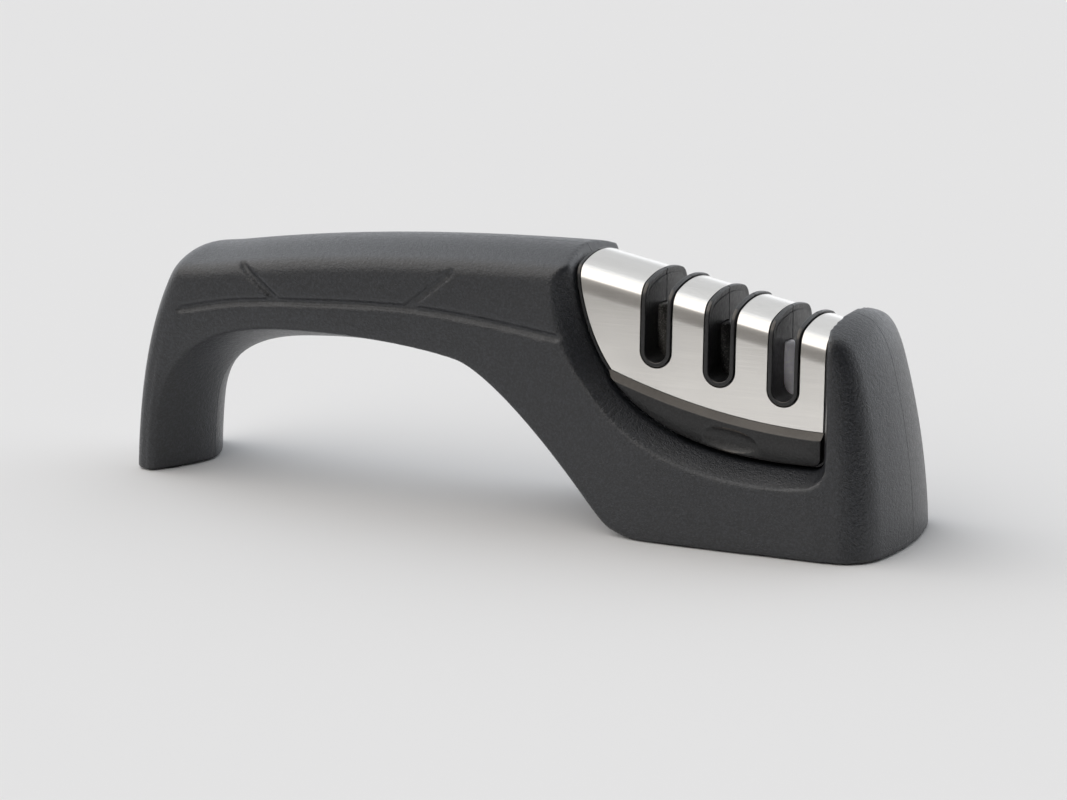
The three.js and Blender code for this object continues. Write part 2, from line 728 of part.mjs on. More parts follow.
const housing = new THREE.Group();
addPiece(housing, 'housing_near_half', nearHousing(), charcoal);
addPiece(housing, 'housing_far_half', farHousing(), charcoal);
addPiece(housing, 'base_pad', basePad(), padRubber);
addPiece(housing, 'foot_pad', padBody('foot', 0, 0, padProud + padRecess), padRubber);
for (const [name, place] of Object.entries(screwPlaces)) {
  const screw = crossScrew(
    place, screwSeat + fitGap, screwHeadDiameter, screwHeadHeight, screwShankDiameter, screwLength);
  addPiece(housing, `housing_screw_${name}`, screw, zincScrew);
}

const cartridge = new THREE.Group();
const core = coreBody();
addPiece(cartridge, 'cartridge_core_near', coreHalf(core, -1), softBlack);
addPiece(cartridge, 'cartridge_core_far', coreHalf(core, 1), softBlack);
addPiece(cartridge, 'steel_cover', steelCover(), brushedSteel);
Object.entries(rodFinishes).forEach(([grade, finish], slot) => {
  addPiece(cartridge, `${grade}_rod_near`, rodSolid(slot, -1, 0), finish);
  addPiece(cartridge, `${grade}_rod_far`, rodSolid(slot, 1, 0), finish);
});
coreScrewPlaces.forEach((place, k) => {
  const screw = crossScrew(
    place, coreScrewSeat + fitGap, coreScrewHeadDiameter, coreScrewHeadHeight,
    coreScrewShankDiameter, coreScrewLength);
  addPiece(cartridge, `core_screw_${k + 1}`, screw, zincScrew);
});

const sharpener = new THREE.Group();
sharpener.add(housing, cartridge);

export default sharpener;
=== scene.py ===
"""Looks of a pull-through knife sharpener: an arched clamshell housing and a cartridge of crossed rods."""

import json
import logging
import math
from collections.abc import Iterable, Sequence
from dataclasses import dataclass, field
from enum import Enum

import bmesh
import bpy
import numpy as np
from mathutils import Matrix, Vector
from mathutils.bvhtree import BVHTree

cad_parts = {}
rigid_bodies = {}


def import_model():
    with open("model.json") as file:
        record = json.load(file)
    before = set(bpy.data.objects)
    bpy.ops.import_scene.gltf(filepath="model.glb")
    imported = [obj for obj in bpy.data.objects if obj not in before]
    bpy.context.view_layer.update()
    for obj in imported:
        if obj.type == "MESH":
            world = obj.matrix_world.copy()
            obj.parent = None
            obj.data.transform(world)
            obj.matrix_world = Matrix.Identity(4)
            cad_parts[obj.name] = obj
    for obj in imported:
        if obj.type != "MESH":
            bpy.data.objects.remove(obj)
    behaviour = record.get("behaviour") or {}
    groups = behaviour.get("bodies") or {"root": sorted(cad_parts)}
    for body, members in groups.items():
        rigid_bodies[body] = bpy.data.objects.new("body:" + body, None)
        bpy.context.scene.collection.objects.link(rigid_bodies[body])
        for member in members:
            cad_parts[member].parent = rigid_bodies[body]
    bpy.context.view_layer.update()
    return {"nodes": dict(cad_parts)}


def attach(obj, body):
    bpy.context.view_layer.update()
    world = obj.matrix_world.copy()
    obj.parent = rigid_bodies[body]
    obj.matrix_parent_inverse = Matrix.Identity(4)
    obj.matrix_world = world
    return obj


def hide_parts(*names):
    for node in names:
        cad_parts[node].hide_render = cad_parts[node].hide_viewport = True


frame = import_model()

log = logging.getLogger("sharpener")

MILLI = 0.001
FAR_OUT = 80.0
WIDE_OUT = 200.0
HIGH_UP = 131.0
ROOF = 140.0
QUARTER = math.pi / 2
MIRROR = (1.0, -1.0, 1.0)
NOISE_SPAN = (0.3, 0.7)
NOISE_ROUGHNESS = 0.55
RANGE_INPUTS = ("Value", "From Min", "From Max", "To Min", "To Max")

Array = np.ndarray
Value = np.ndarray | float
Pair = tuple[float, float]
Triple = tuple[float, float, float]
Curve = tuple[Pair, ...]
Ease = tuple[Pair, Pair]
Body = bpy.types.Object
Material = bpy.types.Material
Node = bpy.types.Node
Socket = bpy.types.NodeSocket


class Blend(Enum):
    """How a tool is combined with a body."""

    CUT = "DIFFERENCE"
    JOIN = "UNION"
    SHARE = "INTERSECT"


class Side(Enum):
    """Side of the mid-plane, as the sign of Y."""

    NEAR = -1
    FAR = 1

    @property
    def label(self) -> str:
        """The side as it stands in the names of pieces."""
        return self.name.lower()


# Rows of points, in millimetres


def smoothstep(value: Value, low: float, high: float) -> Value:
    """Ease from 0 to 1 between two values."""
    share = np.clip((value - low) / (high - low), 0.0, 1.0)
    return share * share * (3.0 - 2.0 * share)


def between(low: Value, high: Value, share: Value) -> Value:
    """Value at a share of the way between two."""
    return low + (high - low) * share


def shares(count: int, endpoint: bool = True) -> Array:
    """Equal shares from 0 to 1."""
    return np.linspace(0.0, 1.0, count, endpoint=endpoint)


def full_turn(count: int) -> Array:
    """Equal turns round a circle."""
    return 2.0 * math.pi * shares(count, False)


def arc(middle: Sequence[float], radius: float, turn: Array) -> Array:
    """Points of an arc at some turns."""
    return np.column_stack([middle[0] + radius * np.cos(turn), middle[1] + radius * np.sin(turn)])


def stand(outline: Array, y: Value) -> Array:
    """Set an outline of the side view at a place across the width."""
    return np.column_stack([outline[:, 0], np.broadcast_to(y, len(outline)), outline[:, 1]])


def lay(outline: Array, z: float) -> Array:
    """Set an outline of the plan at a height."""
    return np.column_stack([outline, np.full(len(outline), z)])


def mirrored(layers: Sequence[Pair]) -> list[Pair]:
    """Layers of the far side, with the same ones on the near side before them."""
    return [*((-y, value) for y, value in layers[::-1]), *layers]


def unit(rows: Array) -> Array:
    """Scale each row to a length of one."""
    return rows / np.linalg.norm(rows, axis=1)[:, None]


def left_of(path: Array) -> Array:
    """Directions to the left of a path, one for each point."""
    heading = unit(np.gradient(path, axis=0))
    return np.column_stack([-heading[:, 1], heading[:, 0]])


def along(controls: Curve, way: Array) -> Array:
    """Points of a straight run or a bend.

    Args:
        controls: Two points of a line, or three of a quadratic or four of a cubic bend.
        way: Shares of the way, from 0 to 1.

    Returns:
        One point for each share.
    """
    degree = len(controls) - 1
    t = way[:, None]
    terms = [
        math.comb(degree, k) * t ** k * (1.0 - t) ** (degree - k) * np.array(controls[k], dtype=float)
        for k in range(degree + 1)
    ]
    return np.sum(terms, axis=0)


def eased(values: Array, spread: float) -> Array:
    """Smooth a run of values along its length and keep its ends.

    Args:
        values: Values or points, one for each step.
        spread: Width of the smoothing, in steps.

    Returns:
        The smoothed run.
    """
    reach = int(4 * spread)
    weights = np.exp(-0.5 * (np.arange(-reach, reach + 1) / spread) ** 2)
    weights /= weights.sum()
    table = values.reshape(len(values), -1)
    before = 2.0 * table[0] - table[reach:0:-1]
    after = 2.0 * table[-1] - table[-2:-reach - 2:-1]
    padded = np.vstack([before, table, after])
    done = np.column_stack([np.convolve(column, weights, mode="valid") for column in padded.T])
    return done.reshape(values.shape)


def flowing(places: Sequence[Pair], step: float) -> Array:
    """Smooth path through places.

    Args:
        places: Places that the path passes through.
        step: Distance between its points.

    Returns:
        Points of the path.
    """
    corners = np.array(places, dtype=float)
    ends = np.vstack([2 * corners[0] - corners[1], corners, 2 * corners[-1] - corners[-2]])
    path = [corners[:1]]
    for a, b, c, d in zip(ends, ends[1:], ends[2:], ends[3:]):
        steps = max(2, int(np.linalg.norm(c - b) / step))
        t = (np.arange(1, steps + 1) / steps)[:, None]
        path.append(0.5 * (2 * b + (c - a) * t + (2 * a - 5 * b + 4 * c - d) * t ** 2
                           + (3 * b - a - 3 * c + d) * t ** 3))
    return np.vstack(path)


# Bodies, in millimetres until they are presented


def linked(name: str, data: bpy.types.ID) -> Body:
    """Make an object and link it to the scene.

    Args:
        name: Name of the object.
        data: Its mesh or camera.

    Returns:
        The object.
    """
    body = bpy.data.objects.new(name, data)
    bpy.context.scene.collection.objects.link(body)
    return body


def solid(points: Array, faces: list[tuple[int, ...]]) -> Body:
    """Make an object from points and faces, with its faces pointing outwards.

    Args:
        points: Corner points.
        faces: Faces as tuples of point numbers.

    Returns:
        The object.
    """
    mesh = bpy.data.meshes.new("body")
    mesh.from_pydata(points.tolist(), [], faces)
    made = bmesh.new()
    made.from_mesh(mesh)
    bmesh.ops.recalc_face_normals(made, faces=made.faces)
    made.to_mesh(mesh)
    made.free()
    return linked("body", mesh)


def loft(rings: Sequence[Array], closed: bool = False) -> Body:
    """Skin a stack of rings that all have the same number of points.

    Args:
        rings: The rings in order.
        closed: Whether the last ring joins the first. Otherwise both ends are capped.

    Returns:
        The closed body.
    """
    count = len(rings[0])
    total = len(rings)
    points = np.vstack(rings)
    faces: list[tuple[int, ...]] = []
    for ring in range(total if closed else total - 1):
        here = ring * count
        after = (ring + 1) % total * count
        for k in range(count):
            n = (k + 1) % count
            faces.append((here + k, here + n, after + n, after + k))
    if not closed:
        for start in (0, (total - 1) * count):
            hub = len(points)
            points = np.vstack([points, points[start:start + count].mean(axis=0)])
            faces += [(start + k, start + (k + 1) % count, hub) for k in range(count)]
    return solid(points, faces)


def block(low: Triple, high: Triple) -> Body:
    """Make a box between two corners."""
    plan = np.array([(low[0], low[1]), (high[0], low[1]), (high[0], high[1]), (low[0], high[1])])
    return loft([lay(plan, z) for z in (low[2], high[2])])


def cross_pin(x: float, z: float, radius: float, low_y: float, high_y: float) -> Body:
    """Make a round pin that lies across the width."""
    return loft([stand(arc((x, z), radius, full_turn(48)), y) for y in (low_y, high_y)])


def settle(body: Body) -> None:
    """Turn a body's modifiers into its mesh.

    Args:
        body: The body to settle.
    """
    graph = bpy.context.evaluated_depsgraph_get()
    made = bpy.data.meshes.new_from_object(body.evaluated_get(graph))
    body.modifiers.clear()
    spent = body.data
    body.data = made
    bpy.data.meshes.remove(spent)


def scrap(body: Body) -> None:
    """Remove a body and its mesh."""
    bpy.data.batch_remove((body, body.data))


def combine(body: Body, tools: Iterable[Body], way: Blend) -> Body:
    """Combine a body with tools, which are used up.

    Args:
        body: The body that is changed.
        tools: Closed bodies to cut with, join or share with.
        way: How they are combined.

    Returns:
        The changed body.
    """
    for tool in tools:
        modifier = body.modifiers.new(way.name, "BOOLEAN")
        modifier.operation = way.value
        modifier.solver = "MANIFOLD"
        modifier.object = tool
        settle(body)
        scrap(tool)
    return body


def split_half(body: Body, side: Side, seam: float) -> Body:
    """Copy a body and keep only what lies on one side of the mid-plane.

    Args:
        body: The whole body.
        side: The side that is kept.
        seam: Half the width of the seam.

    Returns:
        The half.
    """
    half = linked("half", body.data.copy())
    low, high = sorted((side.value * seam, -side.value * FAR_OUT))
    waste = block((-WIDE_OUT, low, -WIDE_OUT), (WIDE_OUT, high, WIDE_OUT))
    return combine(half, [waste], Blend.CUT)


def smooth(body: Body, sharp_degrees: float) -> None:
    """Shade a body smooth, except at edges that turn by more than an angle."""
    body.data.shade_smooth()
    body.data.set_sharp_from_angle(angle=math.radians(sharp_degrees))


def present(body: Body, name: str, sharp_degrees: float) -> Body:
    """Name a finished body, scale it to metres and set its shading.

    Args:
        body: The body in millimetres.
        name: Name of the piece.
        sharp_degrees: Edges that turn by more than this stay sharp.

    Returns:
        The body in metres.
    """
    body.name = name
    body.data.transform(Matrix.Scale(MILLI, 4))
    smooth(body, sharp_degrees)
    return body


def enlist(piece: Body, body: str, nodes: Sequence[str]) -> None:
    """Tie a finished piece to the frame.

    Args:
        piece: The piece.
        body: Body that it rides on.
        nodes: CAD nodes that it stands for.
    """
    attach(piece, body)
    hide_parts(*nodes)
    log.info("%s: %d faces, rides on %s", piece.name, len(piece.data.polygons), body)


def wear(piece: Body, material: Material) -> None:
    """Give a piece one material all over.

    Args:
        piece: The piece.
        material: Its material.
    """
    if not piece.material_slots:
        piece.data.materials.append(material)
    for slot in piece.material_slots:
        slot.material = material


# Nodes and finishes


class Desk:
    """Lays out the nodes of a tree."""

    def __init__(self, tree: bpy.types.NodeTree) -> None:
        """Start with an empty tree."""
        self.tree = tree
        tree.nodes.clear()

    def join(self, value: object, socket: Socket) -> None:
        """Link an output to an input, or set the input to a value.

        Args:
            value: Output socket or plain value.
            socket: The input.
        """
        if isinstance(value, Socket):
            self.tree.links.new(value, socket)
        else:
            socket.default_value = value

    def add(self, kind: str, inputs: dict[str | int, object] | None = None, **settings: object) -> Node:
        """Add a node.

        Args:
            kind: Node type.
            inputs: Values or output sockets, by the input's name or number.
            settings: Properties of the node.

        Returns:
            The node.
        """
        node = self.tree.nodes.new(kind)
        for key, value in settings.items():
            setattr(node, key, value)
        for key, value in (inputs or {}).items():
            self.join(value, node.inputs[key])
        return node

    def maths(self, operation: str, first: object, second: object) -> Socket:
        """Combine two numbers."""
        return self.add("ShaderNodeMath", {0: first, 1: second}, operation=operation).outputs[0]

    def span(self, value: Socket, source: Pair, target: Pair, curve: str = "LINEAR") -> Socket:
        """Map a value from one range to another."""
        inputs = dict(zip(RANGE_INPUTS, (value, *source, *target)))
        return self.add("ShaderNodeMapRange", inputs, interpolation_type=curve).outputs["Result"]

    def mix(self, share: Socket, first: Socket | Triple, second: Socket | Triple) -> Socket:
        """Mix two colours by the share of the second."""
        first, second = (c if isinstance(c, Socket) else (*c, 1.0) for c in (first, second))
        return self.add("ShaderNodeMix", {0: share, 6: first, 7: second}, data_type="RGBA").outputs[2]


class Bench(Desk):
    """Lays out the nodes of one material, on the object's own coordinates."""

    def __init__(self, name: str) -> None:
        """Start a material with one shader.

        Args:
            name: Name of the material.
        """
        self.material = bpy.data.materials.new(name)
        self.material.use_nodes = True
        super().__init__(self.material.node_tree)
        self.shader = self.add("ShaderNodeBsdfPrincipled")
        self.add("ShaderNodeOutputMaterial", {"Surface": self.shader.outputs["BSDF"]})
        self.place = self.add("ShaderNodeTexCoord").outputs["Object"]

    def noise(self, size: float, stretch: Triple = (1.0, 1.0, 1.0), detail: float = 2.0) -> Socket:
        """Add a noise.

        Args:
            size: Size of its patches in millimetres.
            stretch: Scale of the pattern along each axis.
            detail: Levels of finer noise.

        Returns:
            The noise value.
        """
        mapping = self.add("ShaderNodeMapping", {"Vector": self.place, "Scale": stretch})
        inputs = {"Vector": mapping.outputs["Vector"], "Scale": 1.0 / (size * MILLI), "Detail": detail}
        return self.add("ShaderNodeTexNoise", {**inputs, "Roughness": NOISE_ROUGHNESS}).outputs["Fac"]

    def tint(self, noise: Socket, low: Triple, high: Triple) -> Socket:
        """Colour a noise.

        Args:
            noise: The noise value.
            low: Colour of its low patches.
            high: Colour of its high patches.

        Returns:
            The colour.
        """
        node = self.add("ShaderNodeValToRGB", {"Fac": noise})
        for element, place, colour in zip(node.color_ramp.elements, NOISE_SPAN, (low, high)):
            element.position = place
            element.color = (*colour, 1.0)
        return node.outputs["Color"]

    def coat(self, inputs: dict[str, object], *layers: tuple[Socket, float, float]) -> Material:
        """Set the shader and stack bumps on it.

        Args:
            inputs: Values or output sockets by the shader's input.
            layers: Height, strength and depth in millimetres of each bump.

        Returns:
            The material.
        """
        for key, value in inputs.items():
            self.join(value, self.shader.inputs[key])
        below: dict[str, Socket] = {}
        for height, strength, depth in layers:
            bump = {"Height": height, "Strength": strength, "Distance": depth * MILLI, **below}
            below = {"Normal": self.add("ShaderNodeBump", bump).outputs["Normal"]}
        for key, value in below.items():
            self.join(value, self.shader.inputs[key])
        return self.material


def shade(colour: Triple, factor: float) -> Triple:
    """Lighten or darken a colour by a factor."""
    return tuple(channel * factor for channel in colour)


@dataclass(frozen=True)
class GrainedPlastic:
    """Moulded plastic with a spark-eroded grain, and painted light on the faces that slope outwards.

    Each bump has a size in grains, a detail, a strength and a share of the depth.
    """

    name: str
    colour: Triple
    roughness: Pair
    grain: float
    depth: float
    specular: float = 0.5
    # Colour of painted light on faces that slope outwards: reflected light from the steel and sheen, or none
    rubbed: Triple | None = None
    cloud: float = 14.0
    shadow: float = 0.82
    fleck: float = 2.3
    fleck_size: float = 1.6
    gloss_size: float = 3.0
    bumps: tuple[tuple[float, ...], ...] = ((2.6, 3.0, 0.7, 1.0), (1.0, 2.0, 1.0, 0.6))
    fleck_span: Ease = ((0.42, 0.68), (0.0, 0.75))
    slope_span: Ease = ((0.36, 0.44), (0.0, 1.0))

    def slopes(self, bench: Bench) -> Socket:
        """Mask of the narrow faces that slope outwards, where light is painted.

        Args:
            bench: Bench of the material.

        Returns:
            One on those faces and nought elsewhere.
        """
        normal = bench.add("ShaderNodeNewGeometry").outputs["Normal"]
        lean = bench.add("ShaderNodeVectorMath", {0: normal}, operation="ABSOLUTE").outputs["Vector"]
        split = bench.add("ShaderNodeSeparateXYZ", {0: lean}).outputs
        return bench.span(bench.maths("MULTIPLY", split["Y"], split["Z"]), *self.slope_span)

    def make(self) -> Material:
        """Build the material.

        Returns:
            The material.
        """
        bench = Bench(self.name)
        base = bench.tint(bench.noise(self.cloud, detail=3.0), shade(self.colour, self.shadow), self.colour)
        pale = bench.span(bench.noise(self.grain * self.fleck_size), *self.fleck_span)
        colour = bench.mix(pale, base, shade(self.colour, self.fleck))
        # Painted light: outward-sloping faces are lightened to a warm grey, standing for the steel's
        # reflected light and sheen
        if self.rubbed:
            colour = bench.mix(self.slopes(bench), colour, self.rubbed)
        roughness = bench.span(bench.noise(self.grain * self.gloss_size), NOISE_SPAN, self.roughness)
        layers = [
            (bench.noise(self.grain * size, detail=detail), strength, self.depth * share)
            for size, detail, strength, share in self.bumps
        ]
        return bench.coat(
            {"Base Color": colour, "Roughness": roughness, "Specular IOR Level": self.specular}, *layers)


@dataclass(frozen=True)
class BrushedSteel:
    """Stainless sheet brushed along its length. Each bump has a strength and a depth."""

    name: str
    colour: Triple
    roughness: Pair
    stroke: float
    fog: float = 22.0
    dull: float = 0.93
    bright: float = 1.04
    stroke_scale: Triple = (0.012, 1.0, 1.0)
    band_size: float = 14.0
    band_scale: Triple = (0.05, 1.0, 1.0)
    band_span: Ease = ((0.35, 0.75), (0.0, 0.55))
    bumps: Ease = ((0.16, 0.012), (0.1, 0.03))

    def make(self) -> Material:
        """Build the material.

        Returns:
            The material.
        """
        bench = Bench(self.name)
        strokes = bench.noise(self.stroke, self.stroke_scale, 4.0)
        bands = bench.noise(self.stroke * self.band_size, self.band_scale)
        dull = shade(self.colour, self.dull)
        base = bench.tint(strokes, dull, shade(self.colour, self.bright))
        colour = bench.mix(bench.span(bands, *self.band_span), base, dull)
        roughness = bench.span(bench.noise(self.fog), NOISE_SPAN, self.roughness)
        return bench.coat(
            {"Base Color": colour, "Metallic": 1.0, "Roughness": roughness},
            (strokes, *self.bumps[0]), (bands, *self.bumps[1]))


@dataclass(frozen=True)
class Grit:
    """Abrasive grains bonded to a rod. Each bump has a strength and a depth in grains."""

    name: str
    dark: Triple
    light: Triple
    grain: float
    sparkle: float
    metal: float
    roughness: Pair
    cloud: float = 2.4
    fade: float = 1.5
    clump_size: float = 2.0
    bumps: Ease = ((0.8, 0.35), (0.5, 0.2))

    def make(self) -> Material:
        """Build the material.

        Returns:
            The material.
        """
        bench = Bench(self.name)
        cells = {"Vector": bench.place, "Scale": 1.0 / (self.grain * MILLI)}
        grains = bench.add("ShaderNodeTexVoronoi", cells).outputs
        facet = bench.add("ShaderNodeSeparateColor", {"Color": grains["Color"]}).outputs
        base = bench.tint(bench.noise(self.cloud, detail=3.0), self.dark, shade(self.dark, self.fade))
        bright = bench.span(facet["Red"], (1.0 - self.sparkle, 1.0), (0.0, 1.0))
        colour = bench.mix(bright, base, self.light)
        roughness = bench.span(facet["Green"], (0.0, 1.0), self.roughness)
        heights = grains["Distance"], bench.noise(self.grain * self.clump_size)
        layers = [(height, bump[0], self.grain * bump[1]) for height, bump in zip(heights, self.bumps)]
        return bench.coat({"Base Color": colour, "Metallic": self.metal, "Roughness": roughness}, *layers)


@dataclass(frozen=True)
class ZincPlate:
    """Zinc-plated steel with a light mottle."""

    name: str
    colour: Triple
    roughness: Pair = (0.26, 0.46)
    mottle: float = 0.9
    gloss_size: float = 0.4
    pit_size: float = 0.25
    pits: Pair = (0.3, 0.02)
    dull: float = 0.82
    bright: float = 1.1

    def make(self) -> Material:
        """Build the material.

        Returns:
            The material.
        """
        bench = Bench(self.name)
        ends = shade(self.colour, self.dull), shade(self.colour, self.bright)
        colour = bench.tint(bench.noise(self.mottle, detail=3.0), *ends)
        roughness = bench.span(bench.noise(self.gloss_size), NOISE_SPAN, self.roughness)
        return bench.coat(
            {"Base Color": colour, "Metallic": 1.0, "Roughness": roughness},
            (bench.noise(self.pit_size, detail=3.0), *self.pits))


@dataclass(frozen=True)
class Finishes:
    """Every finish of the sharpener."""

    housing: GrainedPlastic = GrainedPlastic(
        "charcoal_plastic", (0.0153, 0.0166, 0.0198), (0.3, 0.4), 0.36, 0.2, 0.75)
    # The core's last colour is painted light: a warm grey on outward-sloping faces such as the ledge, for the
    # steel's reflected light and sheen
    core: GrainedPlastic = GrainedPlastic(
        "satin_black_plastic", (0.0112, 0.0112, 0.0116), (0.28, 0.42), 0.34, 0.12, 0.65, (0.105, 0.093, 0.08))
    rubber: GrainedPlastic = GrainedPlastic(
        "pad_rubber", (0.017, 0.017, 0.0175), (0.72, 0.9), 0.5, 0.05, 0.3)
    steel: BrushedSteel = BrushedSteel("brushed_steel", (0.895, 0.868, 0.825), (0.17, 0.24), 0.22)
    zinc: ZincPlate = ZincPlate("zinc_plate", (0.56, 0.56, 0.545))
    coarse: Grit = Grit(
        "coarse_diamond", (0.1, 0.096, 0.088), (0.42, 0.4, 0.37), 0.2, 0.3, 0.45, (0.3, 0.7))
    fine: Grit = Grit(
        "fine_diamond", (0.018, 0.0178, 0.0172), (0.2, 0.195, 0.19), 0.15, 0.2, 0.4, (0.3, 0.65))
    ceramic: Grit = Grit(
        "white_ceramic", (0.78, 0.77, 0.82), (0.92, 0.91, 0.94), 0.12, 0.35, 0.0, (0.3, 0.45))


# Sub-assemblies


@dataclass
class Saddle:
    """Outline, in the side view, of the pocket that takes the cartridge."""

    right: float = 85.4
    floor: float = 19.4
    corner: float = 3.0
    sweep: Curve = ((19.5, 66.0), (21.3, 40.0), (34.5, 20.0), (74.9, 19.4))

    def outline(self, inset: Value) -> Array:
        """Outline drawn in towards the cartridge, or out into the housing where the inset is negative.

        Args:
            inset: Distance, the same for all points or one for each.

        Returns:
            Points from the top left, down, along the floor and up to the top right.
        """
        middle = (self.right - self.corner, self.floor + self.corner)
        drop = along(((self.sweep[0][0], HIGH_UP), self.sweep[0]), shares(24, False))
        flat = along((self.sweep[-1], (middle[0], self.floor)), shares(8))
        bend = arc(middle, self.corner, np.linspace(-QUARTER, 0.0, 17))
        rise = along(((self.right, middle[1]), (self.right, HIGH_UP)), shares(41))
        path = np.vstack([drop, along(self.sweep, shares(72)), flat[1:], bend[1:], rise[1:]])
        return path + left_of(path) * np.broadcast_to(inset, len(path))[:, None]

    def prism(self, layers: Sequence[Pair]) -> Body:
        """Extrude the outline across the width, with the Y and the inset of each layer."""
        return loft([stand(self.outline(inset), y) for y, inset in layers])


@dataclass
class Housing:
    """Two moulded halves that meet at the mid-plane, lofted between a crest and an underside."""

    saddle: Saddle
    crest: tuple[Curve, ...] = (
        ((-102.45, -6.0), (-102.35, 29.7), (-93.3, 50.0)),
        ((-93.3, 50.0), (-89.5, 58.4), (-89.4, 56.3), (-78.1, 58.2)),
        ((-78.1, 58.2), (-35.1, 65.35), (19.5, 65.6)),
        ((19.5, 65.6), (49.6, 60.65)),
        ((49.6, 60.65), (56.3, 59.55)),
        ((56.3, 59.55), (86.4, 54.6)),
        ((86.4, 54.6), (93.2, 54.9), (96.1, 44.0)),
        ((96.1, 44.0), (101.4, 24.0), (102.3, 4.0)),
        ((102.3, 4.0), (102.4, -12.0)),
    )
    sole: tuple[Curve, ...] = (
        ((-87.3, -6.0), (-87.3, 8.0), (-85.9, 17.0)),
        ((-85.9, 17.0), (-83.3, 33.7), (-56.8, 35.9)),
        ((-56.8, 35.9), (-30.2, 38.5), (-10.8, 36.4)),
        ((-10.8, 36.4), (-4.1, 35.7), (12.1, 22.7), (30.9, 3.4)),
        ((30.9, 3.4), (33.9, 0.5), (37.9, 0.3)),
        ((37.9, 0.3), (62.9, -10.0)),
        ((62.9, -10.0), (78.3, -12.0)),
        ((78.3, -12.0), (81.3, -12.0)),
        ((81.3, -12.0), (84.3, -12.0)),
    )
    crest_round: tuple[float, ...] = (4, 4.7, 5.1, 5, 5, 5, 5, 8, 11, 11)
    crest_crown: tuple[float, ...] = (0.8, 1.9, 2.6, 2.6, 2, 2, 2.2, 2.1, 2.1, 2.1)
    crest_power: float = 2.0
    sole_round: tuple[float, ...] = (2, 2, 1.6, 1.4, 1.5, 1.5, 1.5, 1.5, 1.5, 1.5)
    sole_bulge: tuple[float, ...] = (7.8, 7.4, 4.4, 1, 0.3, 0.3, 0.3, 0.3, 0.3, 0.3)
    sole_power: float = 1.6
    height: float = 65.6
    handle_half: float = 17.4
    base_spread: float = 8.42
    base_run: Pair = (-19.0, 49.0)
    nose_run: Pair = (49.0, 102.3)
    belly: float = 1.2
    floor: float = 0.3
    seam: float = 0.07
    webs: tuple[tuple[float, ...], ...] = (
        (-96.5, -93.5, 2.5, 42.0), (-76.0, -67.0, 40.0, 56.5),
        (4.8, 16.5, 40.0, 62.0), (87.0, 90.0, 2.5, 53.3),
    )
    web_span: Pair = (-0.5, 0.03)
    lip: Pair = (15.8, 13.8)
    lip_run: Pair = (30.8, 42.8)
    flare: float = 3.4
    flare_handle: float = 6.2
    handle_run: Pair = (34.0, 50.0)
    flare_nose: Pair = (2.7, 1.3)
    flare_nose_run: Pair = (26.0, 50.0)
    mouth_nose: Pair = (9.0, 1.5)
    mouth_power: float = 1.3
    mouth_over: Pair = (0.5, 1.0)
    crest_ease: float = 2.0
    crest_run: Pair = (61.5, 66.5)
    section_step: float = 1.2
    section_ease: float = 2.0
    voxel: float = 0.5
    soften: tuple[float, int] = (0.5, 3)
    sharp: float = 50.0
    tongue_well: tuple[Triple, Triple] = ((44.1, -4.5, 12.9), (79.1, 4.5, 31.4))
    pads: tuple[tuple[float, ...], ...] = ((38.6, 98.1, 19.8, 9.3), (-99.6, -91.5, 13.2, 3.3))
    pad_span: Pair = (-1.0, 1.5)
    screws: tuple[Pair, ...] = ((-90.6, 36.1), (-63.1, 49.65), (1.1, 50.85), (37.9, 13.4), (93.85, 19.4))
    bores: tuple[Triple, ...] = ((3.1, 8.0, FAR_OUT), (1.75, -9.5, 9.0))
    grooves: tuple[Curve, ...] = (
        ((-88.2, 42.7), (-69.9, 46.4), (-46.4, 48.3), (-23.4, 49.1), (-2.5, 47.9), (19.2, 45.7)),
        ((-69.8, 56.6), (-65.9, 53.6), (-57.8, 47.2)),
        ((-9.7, 59.9), (-16.6, 54.2), (-23.8, 48.6)),
    )
    groove_step: float = 0.8
    groove_radius: float = 1.05
    groove_lift: float = 0.12
    groove_end: float = 0.072
    groove_fade: Pair = (4.0, 3.0)
    halves: dict[Side, Body] = field(default_factory=dict)

    def half_width(self, x: Value, z: Value) -> Value:
        """Half-width of the flat side at a place along the length and a height."""
        spread = self.base_spread * np.clip(1.0 - np.asarray(z) / self.height, 0.0, 1.0)
        return self.handle_half + spread * smoothstep(x, *self.base_run) - smoothstep(x, *self.nose_run)

    def edge(self, spot: Array, normal: Array, crown: float, radius: float, power: float) -> Array:
        """One edge of a section: a crowned run from the mid-plane that turns into a round corner.

        Args:
            spot: Place on the rail.
            normal: Outward direction in the side view.
            crown: Fall of the run.
            radius: Radius of the corner.
            power: How late the run falls.

        Returns:
            Points from the mid-plane out to the flat side.
        """
        width = float(self.half_width(*(spot - normal * (crown + radius))))
        lean = math.atan2(power * crown, width - radius)
        run_out = width - radius * (1.0 - math.sin(lean))
        share = shares(14, False)
        turn = np.linspace(lean, QUARTER, 13)
        depth = np.concatenate([crown * share ** power, crown + radius * (math.cos(lean) - np.cos(turn))])
        out = np.concatenate([run_out * share, width - radius * (1.0 - np.sin(turn))])
        return stand(spot - normal * depth[:, None], out)

    def rails(self) -> tuple[Array, ...]:
        """Sample both rails and the edge sizes along them.

        Returns:
            Crest points, sole points and a table of the four edge sizes.
        """
        crest, sole, sizes = [], [], []
        lists = (self.crest_round, self.crest_crown, self.sole_round, self.sole_bulge)
        for k, (upper, lower) in enumerate(zip(self.crest, self.sole)):
            reach = max(np.linalg.norm(np.subtract(c[-1], c[0])) for c in (upper, lower))
            way = shares(int(reach / self.section_step) + 3, k == len(self.crest) - 1)
            crest.append(along(upper, way))
            sole.append(along(lower, way))
            sizes.append(np.column_stack([between(values[k], values[k + 1], way) for values in lists]))
        return tuple(eased(np.vstack(rows), self.section_ease) for rows in (crest, sole, sizes))

